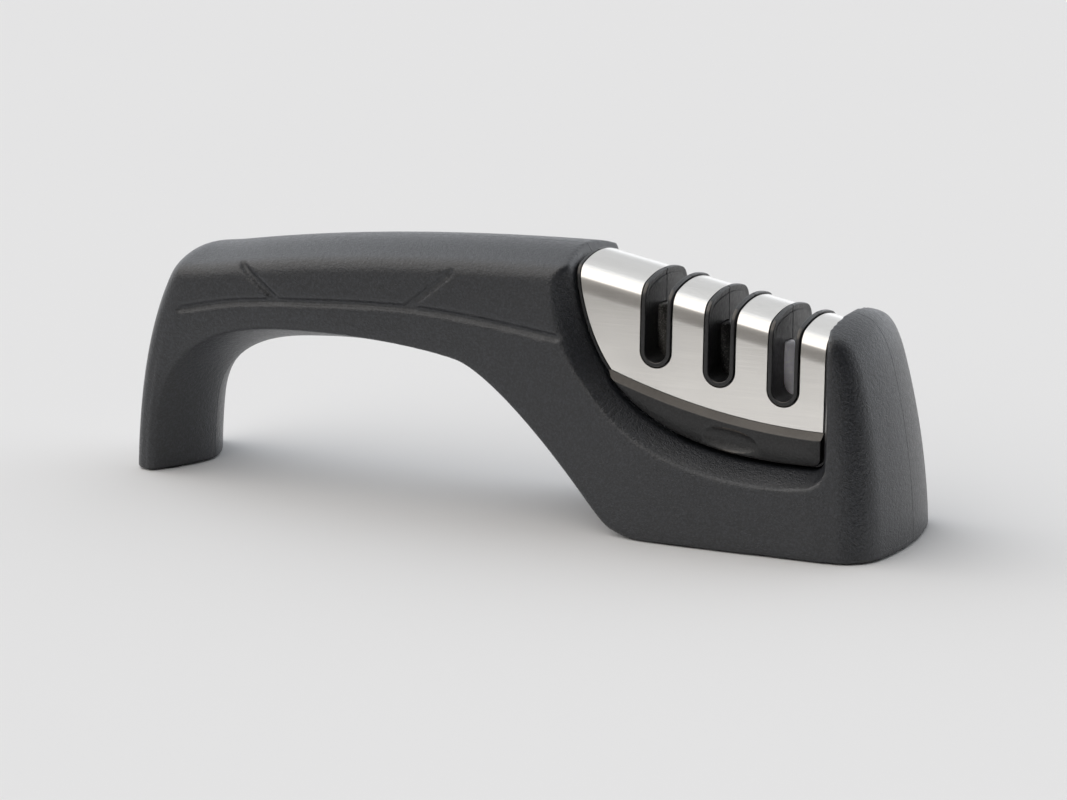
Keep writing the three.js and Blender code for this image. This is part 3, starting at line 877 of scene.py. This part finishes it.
    def shell(self) -> Body:
        """Loft the outer form of both halves.

        Returns:
            The closed form, cut flat at the bottom.
        """
        crest, sole, sizes = self.rails()
        upwards, downwards = left_of(crest), -left_of(sole)
        down = shares(22)[1:-1, None]
        rings = []
        for k, (crest_round, crest_crown, sole_round, sole_bulge) in enumerate(sizes):
            upper = self.edge(crest[k], upwards[k], crest_crown, crest_round, self.crest_power)
            lower = self.edge(sole[k], downwards[k], sole_bulge, sole_round, self.sole_power)
            side = between(upper[-1], lower[-1], down)
            side[:, 1] = self.half_width(side[:, 0], side[:, 2]) + self.belly * (down * (1.0 - down))[:, 0]
            half = np.vstack([upper, side, lower[::-1]])
            rings.append(np.vstack([half, half[-2:0:-1] * MIRROR]))
        under = block((-WIDE_OUT, -FAR_OUT, -FAR_OUT), (WIDE_OUT, FAR_OUT, self.floor))
        return combine(loft(rings), [under], Blend.CUT)

    def pocket(self) -> Body:
        """Make the tool that opens the saddle and slopes its mouth out to the sides, rounded at the handle.

        Returns:
            The tool.
        """
        x, z = self.saddle.outline(0.0).T
        nose = smoothstep(x, *(self.saddle.right - distance for distance in self.mouth_nose))
        high = smoothstep(z, *self.handle_run) * (1.0 - nose)
        flare_nose = between(*self.flare_nose, smoothstep(z, *self.flare_nose_run))
        flare = self.flare + (self.flare_handle - self.flare) * high + (flare_nose - self.flare) * nose
        outer = self.saddle.outline(-flare)
        crest = self.crest_ease * smoothstep(z, *self.crest_run) * (1.0 - nose)
        lip = between(*self.lip, smoothstep(z, *self.lip_run))
        beside, beyond = self.mouth_over
        reach = np.maximum(self.half_width(*outer.T) + beside, lip + beyond) - lip
        rings = []
        for share in shares(15):
            turn = share * QUARTER
            out = between(share, 1.0 - math.cos(turn) ** self.mouth_power, high)
            rise = between(share, math.sin(turn) ** self.mouth_power, high)
            outline = self.saddle.outline(-flare * out - crest * (1.0 - out))
            rings.append(stand(outline, lip + reach * rise))
        rings.append(stand(outer, FAR_OUT))
        return loft([*(ring * MIRROR for ring in rings[::-1]), *rings])

    def pad_recess(self, left: float, right: float, half: float, radius: float) -> Body:
        """Make the tool for the recess of a pad.

        Args:
            left: Rear end.
            right: Front end.
            half: Half-width.
            radius: Corner radius.

        Returns:
            The tool.
        """
        plan = []
        for x, y, start in ((right, -half, -90), (right, half, 0), (left, half, 90), (left, -half, 180)):
            middle = (x - math.copysign(radius, x - (left + right) / 2), y - math.copysign(radius, y))
            plan.append(arc(middle, radius, np.radians(np.linspace(start, start + 90, 9))))
        return loft([lay(np.vstack(plan), z) for z in self.pad_span])

    def wells(self) -> list[Body]:
        """Make the tools for the tongue well, the pad recesses and the screw holes."""
        tools = [block(*self.tongue_well), *(self.pad_recess(*pad) for pad in self.pads)]
        return tools + [cross_pin(x, z, *bore) for x, z in self.screws for bore in self.bores]

    def groove(self, body: Body, places: Curve, side: Side) -> Body:
        """Make the tool for one soft groove that follows the side of the handle.

        Args:
            body: Body that it is cut into.
            places: Its path in the side view.
            side: Side of the housing.

        Returns:
            The tool.
        """
        mesh = body.data
        tree = BVHTree.FromPolygons([v.co for v in mesh.vertices], [p.vertices for p in mesh.polygons])
        spine = []
        for x, z in flowing(places, self.groove_step):
            outside = Vector((x, side.value * FAR_OUT, z))
            spot, normal, *_ = tree.ray_cast(outside, Vector((0.0, -side.value, 0.0)))
            spine.append(spot + normal * self.groove_lift)
        middle = np.array(spine)
        heading = unit(np.gradient(middle, axis=0))
        steps = np.arange(1.0, len(middle) + 1.0)
        start, end = (smoothstep(run, 0.0, fade) for run, fade in zip((steps, steps[::-1]), self.groove_fade))
        radius = between(self.groove_end, self.groove_radius, start * end)
        circle = arc((0.0, 0.0), 1.0, full_turn(16))
        aside = unit(np.cross(heading, (0.0, 1.0, 0.0)))
        out = np.cross(aside, heading)
        rings = [
            spot + size * (circle[:, :1] * a + circle[:, 1:] * n)
            for spot, a, n, size in zip(middle, aside, out, radius)
        ]
        return loft(rings)

    def build(self) -> None:
        """Make both halves."""
        whole = self.shell()
        grooves = [self.groove(whole, places, side) for side in Side for places in self.grooves]
        combine(whole, [self.pocket(), *self.wells(), *grooves], Blend.CUT)
        remesh = whole.modifiers.new("remesh", "REMESH")
        remesh.mode = "VOXEL"
        remesh.voxel_size = self.voxel
        soften = whole.modifiers.new("soften", "SMOOTH")
        soften.factor, soften.iterations = self.soften
        settle(whole)
        near, far = self.web_span
        for side in Side:
            half = split_half(whole, side, self.seam)
            if side is Side.NEAR:
                webs = [block((left, near, low), (right, far, high)) for left, right, low, high in self.webs]
                combine(half, webs, Blend.JOIN)
            self.halves[side] = present(half, f"housing_{side.label}_shell", self.sharp)
        scrap(whole)

    def dress(self, finishes: Finishes) -> None:
        """Give the halves and the pads their finishes and tie them to the frame.

        Args:
            finishes: The finishes.
        """
        plastic = finishes.housing.make()
        for side, half in self.halves.items():
            wear(half, plastic)
            enlist(half, "housing", [f"housing_{side.label}_half"])
        rubber = finishes.rubber.make()
        for node in ("base_pad", "foot_pad"):
            wear(frame["nodes"][node], rubber)
            log.info("%s: kept from the frame", node)


@dataclass
class Cover:
    """Form of the cartridge's top: leaning sides, two bends and a crowned top, falling towards the nose."""

    front_height: float = 51.7
    slope: float = math.tan(math.radians(10.9))
    right: float = 85.4
    low: float = -37.6
    half_base: float = 13.8
    waist: Pair = (12.88, -8.0)
    tuck: Curve = ((12.88, -8.0), (12.82, -5.96), (12.35, -3.97))
    bend: float = 4.2
    bend_middle: Pair = (8.4, -5.41)
    bend_turn: Pair = (20.0, 74.0)
    length: float = 100.0

    def top(self, x: Value) -> Value:
        """Height of the top at a place along the length."""
        return self.front_height + self.slope * (self.right - x)

    def lean(self) -> float:
        """Spread of the lower sides for each millimetre down."""
        return (self.half_base - self.waist[0]) / (self.waist[1] - self.low)

    def half_at(self, below: Array) -> Array:
        """Half-width of the lower sides at a height under the top."""
        return self.waist[0] + self.lean() * (self.waist[1] - below)

    def path(self, start: float) -> Array:
        """Section from the near side, over the top, to the far side.

        Args:
            start: Height under the top at which it starts and ends.

        Returns:
            Rows of width and height.
        """
        rise = np.linspace(start, self.waist[1], 14, endpoint=False)
        side = np.column_stack([self.half_at(rise), rise])
        tuck = along(self.tuck, shares(12, False))
        bend = arc(self.bend_middle, self.bend, np.radians(np.linspace(*self.bend_turn, 18)))
        share = shares(16)[-2::-1]
        crown = np.column_stack([bend[-1, 0] * share, bend[-1, 1] * share ** 2])
        half = np.vstack([side, tuck, bend, crown]) * (-1.0, 1.0)
        return np.vstack([half, half[-2::-1] * (-1.0, 1.0)])

    def placed(self, section: Array, x: float) -> Array:
        """Set a section at a place along the length."""
        return np.column_stack([np.full(len(section), x), section[:, 0], section[:, 1] + self.top(x)])

    def body(self, grow: float) -> Body:
        """Draw the section along the cartridge, grown by a margin."""
        section = self.path(self.low)
        return loft([self.placed(section + grow * left_of(section), x) for x in self.length * shares(101)])


@dataclass
class Cartridge:
    """Lift-out core of two halves with rimmed slots, under a brushed steel cover."""

    saddle: Saddle
    cover: Cover = field(default_factory=Cover)
    slots: dict[str, float] = field(default_factory=lambda: {"coarse": 41.4, "fine": 57.6, "ceramic": 73.8})
    slot_width: float = 5.5
    slot_depth: float = 19.3
    rim_wall: float = 1.0
    rim_proud: float = 0.45
    rim_round: float = 0.26
    rim_root: float = -1.6
    rim_overlap: float = 0.03
    seat_gap: float = 0.5
    skirt_gap: float = 1.0
    core_edge: float = 0.6
    fit_gap: float = 0.3
    rest_gap: float = 0.08
    rim_gap: float = 0.42
    sheet: float = 0.8
    skirt: float = 15.8
    skirt_round: Curve = ((0.45, 0.0), (0.16, 0.14), (0.0, 0.45))
    ledge: Curve = ((17.275, 41.8), (51.34, 26.8), (85.4, 26.8))
    ledge_front: float = 95.4
    ledge_drop: float = 1.4
    ledge_fall: Curve = ((15.3, 0.35), (15.6, 0.11), (15.75, -0.1), (15.86, -0.5), (16.3, -3.0), (31.6, -3.0))
    dimple_size: Triple = (9.5, 2.2, 3.8)
    dimple_place: Triple = (60.6, 1.5, 24.5)
    dimple_turn: Triple = (6.0, 8.0, 2.5)
    tongue: tuple[Triple, Triple] = ((44.6, -4.0, 13.4), (78.6, 4.0, 31.4))
    seam: float = 0.17
    rod_radius: float = 2.5
    rod_length: float = 22.0
    rod_angle: float = 14.0
    rod_rise: float = 5.2
    rod_apart: float = 0.15
    rod_end: Curve = ((0.0, 0.5), (0.12, 0.25), (0.3, 0.08), (0.5, 0.0))
    edge_depth: float = 12.7
    screws: tuple[Pair, ...] = ((31.76, 44.87), (49.1, 37.35), (65.3, 34.23), (80.98, 31.63))
    bores: tuple[Triple, ...] = ((1.4, -6.4, 9.6), (2.4, 8.6, FAR_OUT))
    core_sharp: float = 32.0
    steel_sharp: float = 30.0
    rod_sharp: float = 40.0
    cores: dict[Side, Body] = field(default_factory=dict)
    steel: Body | None = None
    rods: dict[str, Body] = field(default_factory=dict)

    def slot_middle(self, x: float) -> float:
        """Height of the middle of a slot's round floor."""
        return self.cover.top(x) - self.slot_depth + self.slot_width / 2

    def slot_tool(self, x: float, width: float) -> Body:
        """Make an upright slot with a round floor, open at the top.

        Args:
            x: Middle of the slot.
            width: Its width.

        Returns:
            The tool.
        """
        radius = width / 2
        floor = arc((x, self.slot_middle(x)), radius, math.pi * (1.0 + shares(33)))
        outline = np.vstack([[(x + radius, HIGH_UP), (x - radius, HIGH_UP)], floor])
        return loft([stand(outline, y) for y in (-FAR_OUT, FAR_OUT)])

    def over_ledge(self, layers: Sequence[Pair]) -> Body:
        """Make everything above the curved ledge, which falls outwards on both sides.

        Args:
            layers: Distance from the mid-plane and lift of the ledge there.

        Returns:
            The tool.
        """
        edge = np.vstack([along(self.ledge, shares(56)), [(self.ledge_front, self.ledge[-1][1])]])
        top = [(self.ledge_front, ROOF), (self.ledge[0][0], ROOF)]
        return loft([stand(np.vstack([edge + (0.0, lift), top]), y) for y, lift in mirrored(layers)])

    def dimple(self, side: Side) -> Body:
        """Make the tool for the finger dimple in one side of the skirt.

        Args:
            side: Side of the cartridge.

        Returns:
            The tool.
        """
        long, deep, tall = self.dimple_size
        circle = arc((0.0, 0.0), 1.0, full_turn(48)) * (long, tall)
        tilts = np.radians(np.linspace(-89.0, 89.0, 41))
        tool = loft([stand(circle * math.cos(tilt), deep * math.sin(tilt)) for tilt in tilts])
        x, out, z = self.dimple_place
        nod, pitch, yaw = map(math.radians, self.dimple_turn)
        place = Matrix.Translation((x, side.value * (self.skirt + out), z))
        for turn, axis in ((pitch, "Y"), (-side.value * yaw, "Z"), (side.value * nod, "X")):
            place = place @ Matrix.Rotation(turn, 4, axis)
        tool.data.transform(place)
        return tool

    def rim(self, x: float) -> Body:
        """Sweep a rounded rim round the mouth of a slot.

        Args:
            x: Middle of the slot.

        Returns:
            The closed rim.
        """
        reach = (self.slot_width + self.rim_wall) / 2
        middle = self.slot_middle(x)
        places, headings = [], []
        for sign in (-1, 1):
            floor = arc((x, middle), reach, math.pi * (1.0 + shares(26)))[1:-1][::-sign]
            wide = self.cover.half_at(floor[:, 1] - self.cover.top(floor[:, 0]))
            at = x - sign * reach
            section = self.cover.path(middle - self.cover.top(at))
            places += [stand(floor, sign * wide), self.cover.placed(section, at)[::-sign]]
            headings.append(np.tile((self.cover.lean(), -sign), (len(floor), 1)))
            headings.append(np.gradient(section, axis=0)[::-sign])
        path = np.vstack(places)
        across, up = np.vstack(headings).T
        out = unit(np.column_stack([self.cover.slope * across, -up, across]))
        aside = unit(np.cross(np.roll(path, -1, axis=0) - np.roll(path, 1, axis=0), out))
        inner, outer = -self.rim_wall / 2 - self.rim_overlap, self.rim_wall / 2
        lift = self.rim_proud - self.rim_round
        turn = QUARTER * shares(8)
        right = arc((outer - self.rim_round, lift), self.rim_round, turn)
        left = arc((inner + self.rim_round, lift), self.rim_round, math.pi - turn[::-1])
        profile = np.vstack([[(inner, self.rim_root), (outer, self.rim_root)], right, left])
        rings = [p + profile[:, :1] * a + profile[:, 1:] * n for p, a, n in zip(path, aside, out)]
        return loft(rings, closed=True)

    def rod(self, x: float, side: Side, grow: float) -> Body:
        """Make one leaning rod, or the pocket for it.

        Args:
            x: Middle of its slot.
            side: Side of the mid-plane.
            grow: Margin by which it is grown.

        Returns:
            The rod.
        """
        half = self.rod_length / 2 + grow
        inset, drawn = np.array(self.rod_end).T
        straight = np.linspace(1.0 - half, half - 1.0, 20)
        heights = np.concatenate([inset - half, straight, (half - inset)[::-1]])
        radii = self.rod_radius + grow - np.concatenate([drawn, 0.0 * straight, drawn[::-1]])
        body = loft([lay(arc((0.0, 0.0), r, full_turn(64)), z) for r, z in zip(radii, heights)])
        tilt = math.radians(self.rod_angle)
        crossing = self.cover.top(x) - self.edge_depth - self.rod_radius / math.sin(tilt)
        place = Matrix.Translation((x, side.value * (self.rod_radius + self.rod_apart), crossing))
        raised = Matrix.Translation((0.0, 0.0, self.rod_rise))
        body.data.transform(place @ Matrix.Rotation(side.value * tilt, 4, "Y") @ raised)
        return body

    def within(self, inset: float) -> Body:
        """Make the saddle's outline, drawn in, over the whole width."""
        return self.saddle.prism([(-FAR_OUT, inset), (FAR_OUT, inset)])

    def build_core(self) -> None:
        """Make both halves of the core."""
        places = self.slots.values()
        skirt = [(self.skirt - y, self.skirt_gap + drawn) for y, drawn in self.skirt_round]
        body = self.saddle.prism(mirrored(skirt))
        ledge = [(self.cover.half_base, self.ledge_drop), *self.ledge_fall]
        combine(body, [self.over_ledge(ledge)], Blend.CUT)
        inside = self.cover.body(-self.sheet - self.fit_gap)
        band = self.cover.body(0.0)
        for form in (inside, band):
            combine(form, [self.within(self.seat_gap)], Blend.SHARE)
        combine(band, [self.within(self.seat_gap + self.core_edge)], Blend.CUT)
        combine(body, [inside, band, block(*self.tongue)], Blend.JOIN)
        combine(body, [self.slot_tool(x, self.slot_width) for x in places], Blend.CUT)
        combine(body, [self.rim(x) for x in places], Blend.JOIN)
        combine(body, [self.dimple(side) for side in Side], Blend.CUT)
        for side in Side:
            half = split_half(body, side, self.seam)
            combine(half, [self.rod(x, side, self.fit_gap) for x in places], Blend.CUT)
            bores = self.bores if side is Side.FAR else self.bores[:1]
            combine(half, [cross_pin(x, z, *bore) for x, z in self.screws for bore in bores], Blend.CUT)
            self.cores[side] = present(half, f"core_{side.label}", self.core_sharp)
        scrap(body)

    def build_steel(self) -> None:
        """Make the steel cover."""
        sheet = self.cover.body(0.0)
        combine(sheet, [self.cover.body(-self.sheet)], Blend.CUT)
        trims = [
            self.within(self.seat_gap + self.core_edge + self.fit_gap),
            self.over_ledge([(self.ledge_fall[-1][0], self.ledge_drop + self.rest_gap)]),
        ]
        combine(sheet, trims, Blend.SHARE)
        wide = self.slot_width + 2 * (self.rim_wall + self.rim_gap)
        combine(sheet, [self.slot_tool(x, wide) for x in self.slots.values()], Blend.CUT)
        self.steel = present(sheet, "steel_cover_sheet", self.steel_sharp)

    def build(self) -> None:
        """Make the core, the cover and the rods."""
        self.build_core()
        self.build_steel()
        for grade, x in self.slots.items():
            for side in Side:
                key = f"{grade}_rod_{side.label}"
                self.rods[key] = present(self.rod(x, side, 0.0), f"{key}_turned", self.rod_sharp)

    def dress(self, finishes: Finishes) -> None:
        """Give the pieces their finishes and tie them to the frame.

        Args:
            finishes: The finishes.
        """
        plastic = finishes.core.make()
        for side, half in self.cores.items():
            wear(half, plastic)
            enlist(half, "cartridge", [f"cartridge_core_{side.label}"])
        wear(self.steel, finishes.steel.make())
        enlist(self.steel, "cartridge", ["steel_cover"])
        grades = {
            "coarse": (finishes.coarse.make(), "coarse_abrasive"),
            "fine": (finishes.fine.make(), "fine_abrasive"),
            "ceramic": (finishes.ceramic.make(), "rod_ceramic"),
        }
        for key, rod in self.rods.items():
            material, slot = grades[key.split("_")[0]]
            wear(rod, material)
            enlist(rod, "cartridge", [key])


@dataclass
class ScrewSet:
    """Cross-recessed screws of one size, all driven from the far side.

    The forms of the head are shares of its height or its diameter.
    """

    name: str
    body: str
    nodes: tuple[str, ...]
    seats: tuple[Pair, ...]
    seat_depth: float
    head_diameter: float
    head_height: float
    shank_diameter: float
    length: float
    rim: float = 0.6
    dome: float = 0.5
    dome_top: float = 0.32
    dome_foot: float = 0.488
    blade: Pair = (0.56, 0.12)
    blade_lift: float = 0.95
    sink: float = 0.2
    sharp: float = 30.0
    piece: Body | None = None

    def sizes(self) -> dict[str, float]:
        """Sizes by the name of their socket."""
        names = ("head_diameter", "head_height", "shank_diameter", "length")
        return {name.replace("_", " ").title(): getattr(self, name) for name in names}

    def tree(self, material: Material) -> bpy.types.GeometryNodeTree:
        """Build the nodes that set a screw on each seat.

        Args:
            material: Material of the screws.

        Returns:
            The node tree.
        """
        tree = bpy.data.node_groups.new(f"{self.name}_nodes", "GeometryNodeTree")
        tree.interface.new_socket("Seats", in_out="INPUT", socket_type="NodeSocketGeometry")
        for label in self.sizes():
            tree.interface.new_socket(label, in_out="INPUT", socket_type="NodeSocketFloat")
        tree.interface.new_socket("Screws", in_out="OUTPUT", socket_type="NodeSocketGeometry")
        desk = Desk(tree)

        def times(size: Socket, factor: float) -> Socket:
            """Share of a size."""
            return desk.maths("MULTIPLY", size, factor)

        def vector(**parts: Socket) -> Socket:
            """Vector of up to three parts."""
            return desk.add("ShaderNodeCombineXYZ", parts).outputs[0]

        def lifted(kind: str, inputs: dict[str, object], height: Socket) -> Socket:
            """Add a mesh and move it along the screw's axis."""
            mesh = desk.add(f"GeometryNodeMesh{kind}", inputs).outputs[0]
            return desk.add("GeometryNodeTransform", {0: mesh, "Translation": vector(Z=height)}).outputs[0]

        seats, head, height, shank, length = desk.add("NodeGroupInput").outputs[:5]
        rim, dome = times(height, self.rim), times(height, self.dome)
        top, foot = times(head, self.dome_top), times(head, self.dome_foot)
        sunk = desk.maths("SUBTRACT", times(height, self.sink), times(length, 0.5))
        long, thin = (times(head, share) for share in self.blade)
        forms = (
            ("Cylinder", {"Vertices": 40, "Radius": times(head, 0.5), "Depth": rim}, times(rim, 0.5)),
            ("Cone", {"Vertices": 40, "Radius Top": top, "Radius Bottom": foot, "Depth": dome}, dome),
            ("Cylinder", {"Vertices": 28, "Radius": times(shank, 0.5), "Depth": length}, sunk),
            ("Cube", {"Size": vector(X=long, Y=thin, Z=height)}, times(height, self.blade_lift)),
        )
        *solids, blade = (lifted(*form) for form in forms)
        crossed = desk.add("GeometryNodeTransform", {0: blade, "Rotation": (0.0, 0.0, QUARTER)}).outputs[0]
        union = desk.add("GeometryNodeMeshBoolean", operation="UNION", solver="EXACT")
        recess = desk.add("GeometryNodeMeshBoolean", operation="DIFFERENCE", solver="EXACT")
        desk.join(union.outputs["Mesh"], recess.inputs["Mesh 1"])
        for node, meshes in ((union, solids), (recess, (blade, crossed))):
            for mesh in meshes:
                desk.join(mesh, node.inputs["Mesh 2"])
        points = desk.add("GeometryNodeMeshToPoints", {"Mesh": seats}).outputs["Points"]
        placed = desk.add("GeometryNodeInstanceOnPoints", {
            "Points": points, "Instance": recess.outputs["Mesh"], "Rotation": (-QUARTER, 0.0, 0.0)})
        real = desk.add("GeometryNodeRealizeInstances", {0: placed.outputs[0]}).outputs[0]
        dressed = desk.add("GeometryNodeSetMaterial", {0: real, "Material": material}).outputs[0]
        desk.add("NodeGroupOutput", {0: dressed})
        return tree

    def build(self, material: Material) -> None:
        """Set the screws on their seats.

        Args:
            material: Material of the screws.
        """
        mesh = bpy.data.meshes.new(self.name)
        mesh.from_pydata([(x * MILLI, self.seat_depth * MILLI, z * MILLI) for x, z in self.seats], [], [])
        self.piece = linked(self.name, mesh)
        modifier = self.piece.modifiers.new("screws", "NODES")
        modifier.node_group = self.tree(material)
        for item in modifier.node_group.interface.items_tree:
            if item.name in self.sizes():
                modifier[item.identifier] = self.sizes()[item.name] * MILLI
        settle(self.piece)
        smooth(self.piece, self.sharp)

    def dress(self) -> None:
        """Tie the screws to the frame."""
        enlist(self.piece, self.body, self.nodes)


@dataclass
class Studio:
    """Pale floor, soft light all round and the camera."""

    floor_colour: float = 0.84
    floor_fog: float = 1.004
    floor_patch: float = 300.0
    floor_roughness: float = 0.9
    floor_front: float = -0.32
    floor_reach: float = 6.0
    floor_level: float = -0.00002
    backdrop: float = 0.785
    behind: Ease = ((-0.2, 0.45), (0.0, 1.0))
    front_height: Ease = ((0.15, 0.38), (0.22, 1.38))
    front_left: Ease = ((-0.15, 0.35), (1.0, 0.0))
    rear_low: Ease = ((0.1, 0.28), (1.2, 0.61))
    rear_zenith: Ease = ((0.6, 0.98), (0.0, 0.43))
    lamps: tuple[tuple[Triple, Pair, float], ...] = (
        ((0.5, 0.82, 0.3), (0.6, 0.98), 0.42), ((-0.8, 0.25, 0.55), (0.79, 0.97), 0.95))
    warm: Triple = (1.03, 1.0, 0.97)
    cool: Triple = (0.972, 1.0, 1.04)
    position: Triple = (0.3658, -0.7809, 0.2348)
    azimuth: float = 24.9
    elevation: float = 13.7
    lens: float = 121.46
    sensor: float = 36.0
    clip: Pair = (0.01, 100.0)

    def lay_floor(self) -> None:
        """Lay the floor."""
        far, front = self.floor_reach, self.floor_front
        corners = np.array([(-far, front), (far, front), (far, far), (-far, far)])
        floor = solid(lay(corners, self.floor_level), [(0, 1, 2, 3)])
        floor.name = "floor"
        if floor.data.polygons[0].normal.z < 0:
            floor.data.flip_normals()
        bench = Bench("pale_floor")
        tone = (self.floor_colour,) * 3
        colour = bench.tint(bench.noise(self.floor_patch), tone, shade(tone, self.floor_fog))
        wear(floor, bench.coat(
            {"Base Color": colour, "Roughness": self.floor_roughness, "Specular IOR Level": 0.0}))

    def light(self) -> None:
        """Set soft light from a dome with two wide lamps, dim low in front and at the right."""
        world = bpy.data.worlds.new("studio_dome")
        world.use_nodes = True
        bpy.context.scene.world = world
        desk = Desk(world.node_tree)
        ahead = desk.add("ShaderNodeTexCoord").outputs["Generated"]
        x, y, height = desk.add("ShaderNodeSeparateXYZ", {0: ahead}).outputs[:3]

        def ease(value: Socket, source: Pair, target: Pair) -> Socket:
            """Ease a value from one range to another."""
            return desk.span(value, source, target, "SMOOTHSTEP")

        behind = ease(y, *self.behind)
        front = desk.maths("MULTIPLY", ease(height, *self.front_height), ease(x, *self.front_left))
        rear = desk.maths("ADD", ease(height, *self.rear_low), ease(height, *self.rear_zenith))
        strength = desk.add("ShaderNodeMix", {0: behind, 2: front, 3: rear}).outputs[0]
        for place, spread, power in self.lamps:
            towards = {0: ahead, 1: Vector(place).normalized()}
            facing = desk.add("ShaderNodeVectorMath", towards, operation="DOT_PRODUCT").outputs["Value"]
            strength = desk.maths("ADD", strength, ease(facing, spread, (0.0, power)))
        hue = desk.mix(behind, self.warm, self.cool)
        dome = desk.add("ShaderNodeBackground", {"Color": hue, "Strength": strength}).outputs[0]
        plain = desk.add("ShaderNodeBackground", {"Color": (*[self.backdrop] * 3, 1.0)}).outputs[0]
        camera_ray = desk.add("ShaderNodeLightPath").outputs["Is Camera Ray"]
        seen = desk.add("ShaderNodeMixShader", {0: camera_ray, 1: dome, 2: plain}).outputs[0]
        desk.add("ShaderNodeOutputWorld", {"Surface": seen})

    def set_camera(self) -> None:
        """Set the camera at the photograph's viewing angle."""
        data = bpy.data.cameras.new("camera")
        data.lens, data.sensor_width = self.lens, self.sensor
        data.clip_start, data.clip_end = self.clip
        camera = linked("camera", data)
        azimuth, elevation = math.radians(self.azimuth), math.radians(self.elevation)
        level = math.cos(elevation)
        back = Vector((math.sin(azimuth) * level, -math.cos(azimuth) * level, math.sin(elevation)))
        camera.rotation_mode = "QUATERNION"
        camera.rotation_quaternion = (-back).to_track_quat("-Z", "Y")
        camera.location = self.position
        bpy.context.scene.camera = camera

    def build(self) -> None:
        """Set up the floor, the light, the camera and the view."""
        self.lay_floor()
        self.light()
        self.set_camera()
        bpy.context.scene.view_settings.view_transform = "Standard"


def main() -> None:
    """Build and dress the sharpener."""
    logging.basicConfig(level=logging.INFO, format="%(name)s: %(message)s")
    finishes = Finishes()
    Studio().build()
    saddle = Saddle()
    housing = Housing(saddle)
    cartridge = Cartridge(saddle)
    for assembly in (housing, cartridge):
        assembly.build()
        assembly.dress(finishes)
    places = ("leg", "handle_rear", "handle_front", "base", "nose")
    screw_sets = (
        ScrewSet(
            "housing_screws", "housing", tuple(f"housing_screw_{place}" for place in places),
            housing.screws, 8.3, head_diameter=5.6, head_height=2.2, shank_diameter=2.9, length=16.0),
        ScrewSet(
            "core_screws", "cartridge", tuple(f"core_screw_{k}" for k in range(1, 5)),
            cartridge.screws, 8.9, head_diameter=4.2, head_height=1.6, shank_diameter=2.2, length=14.0),
    )
    zinc = finishes.zinc.make()
    for screw_set in screw_sets:
        screw_set.build(zinc)
        screw_set.dress()


if __name__ == "__main__":
    main()
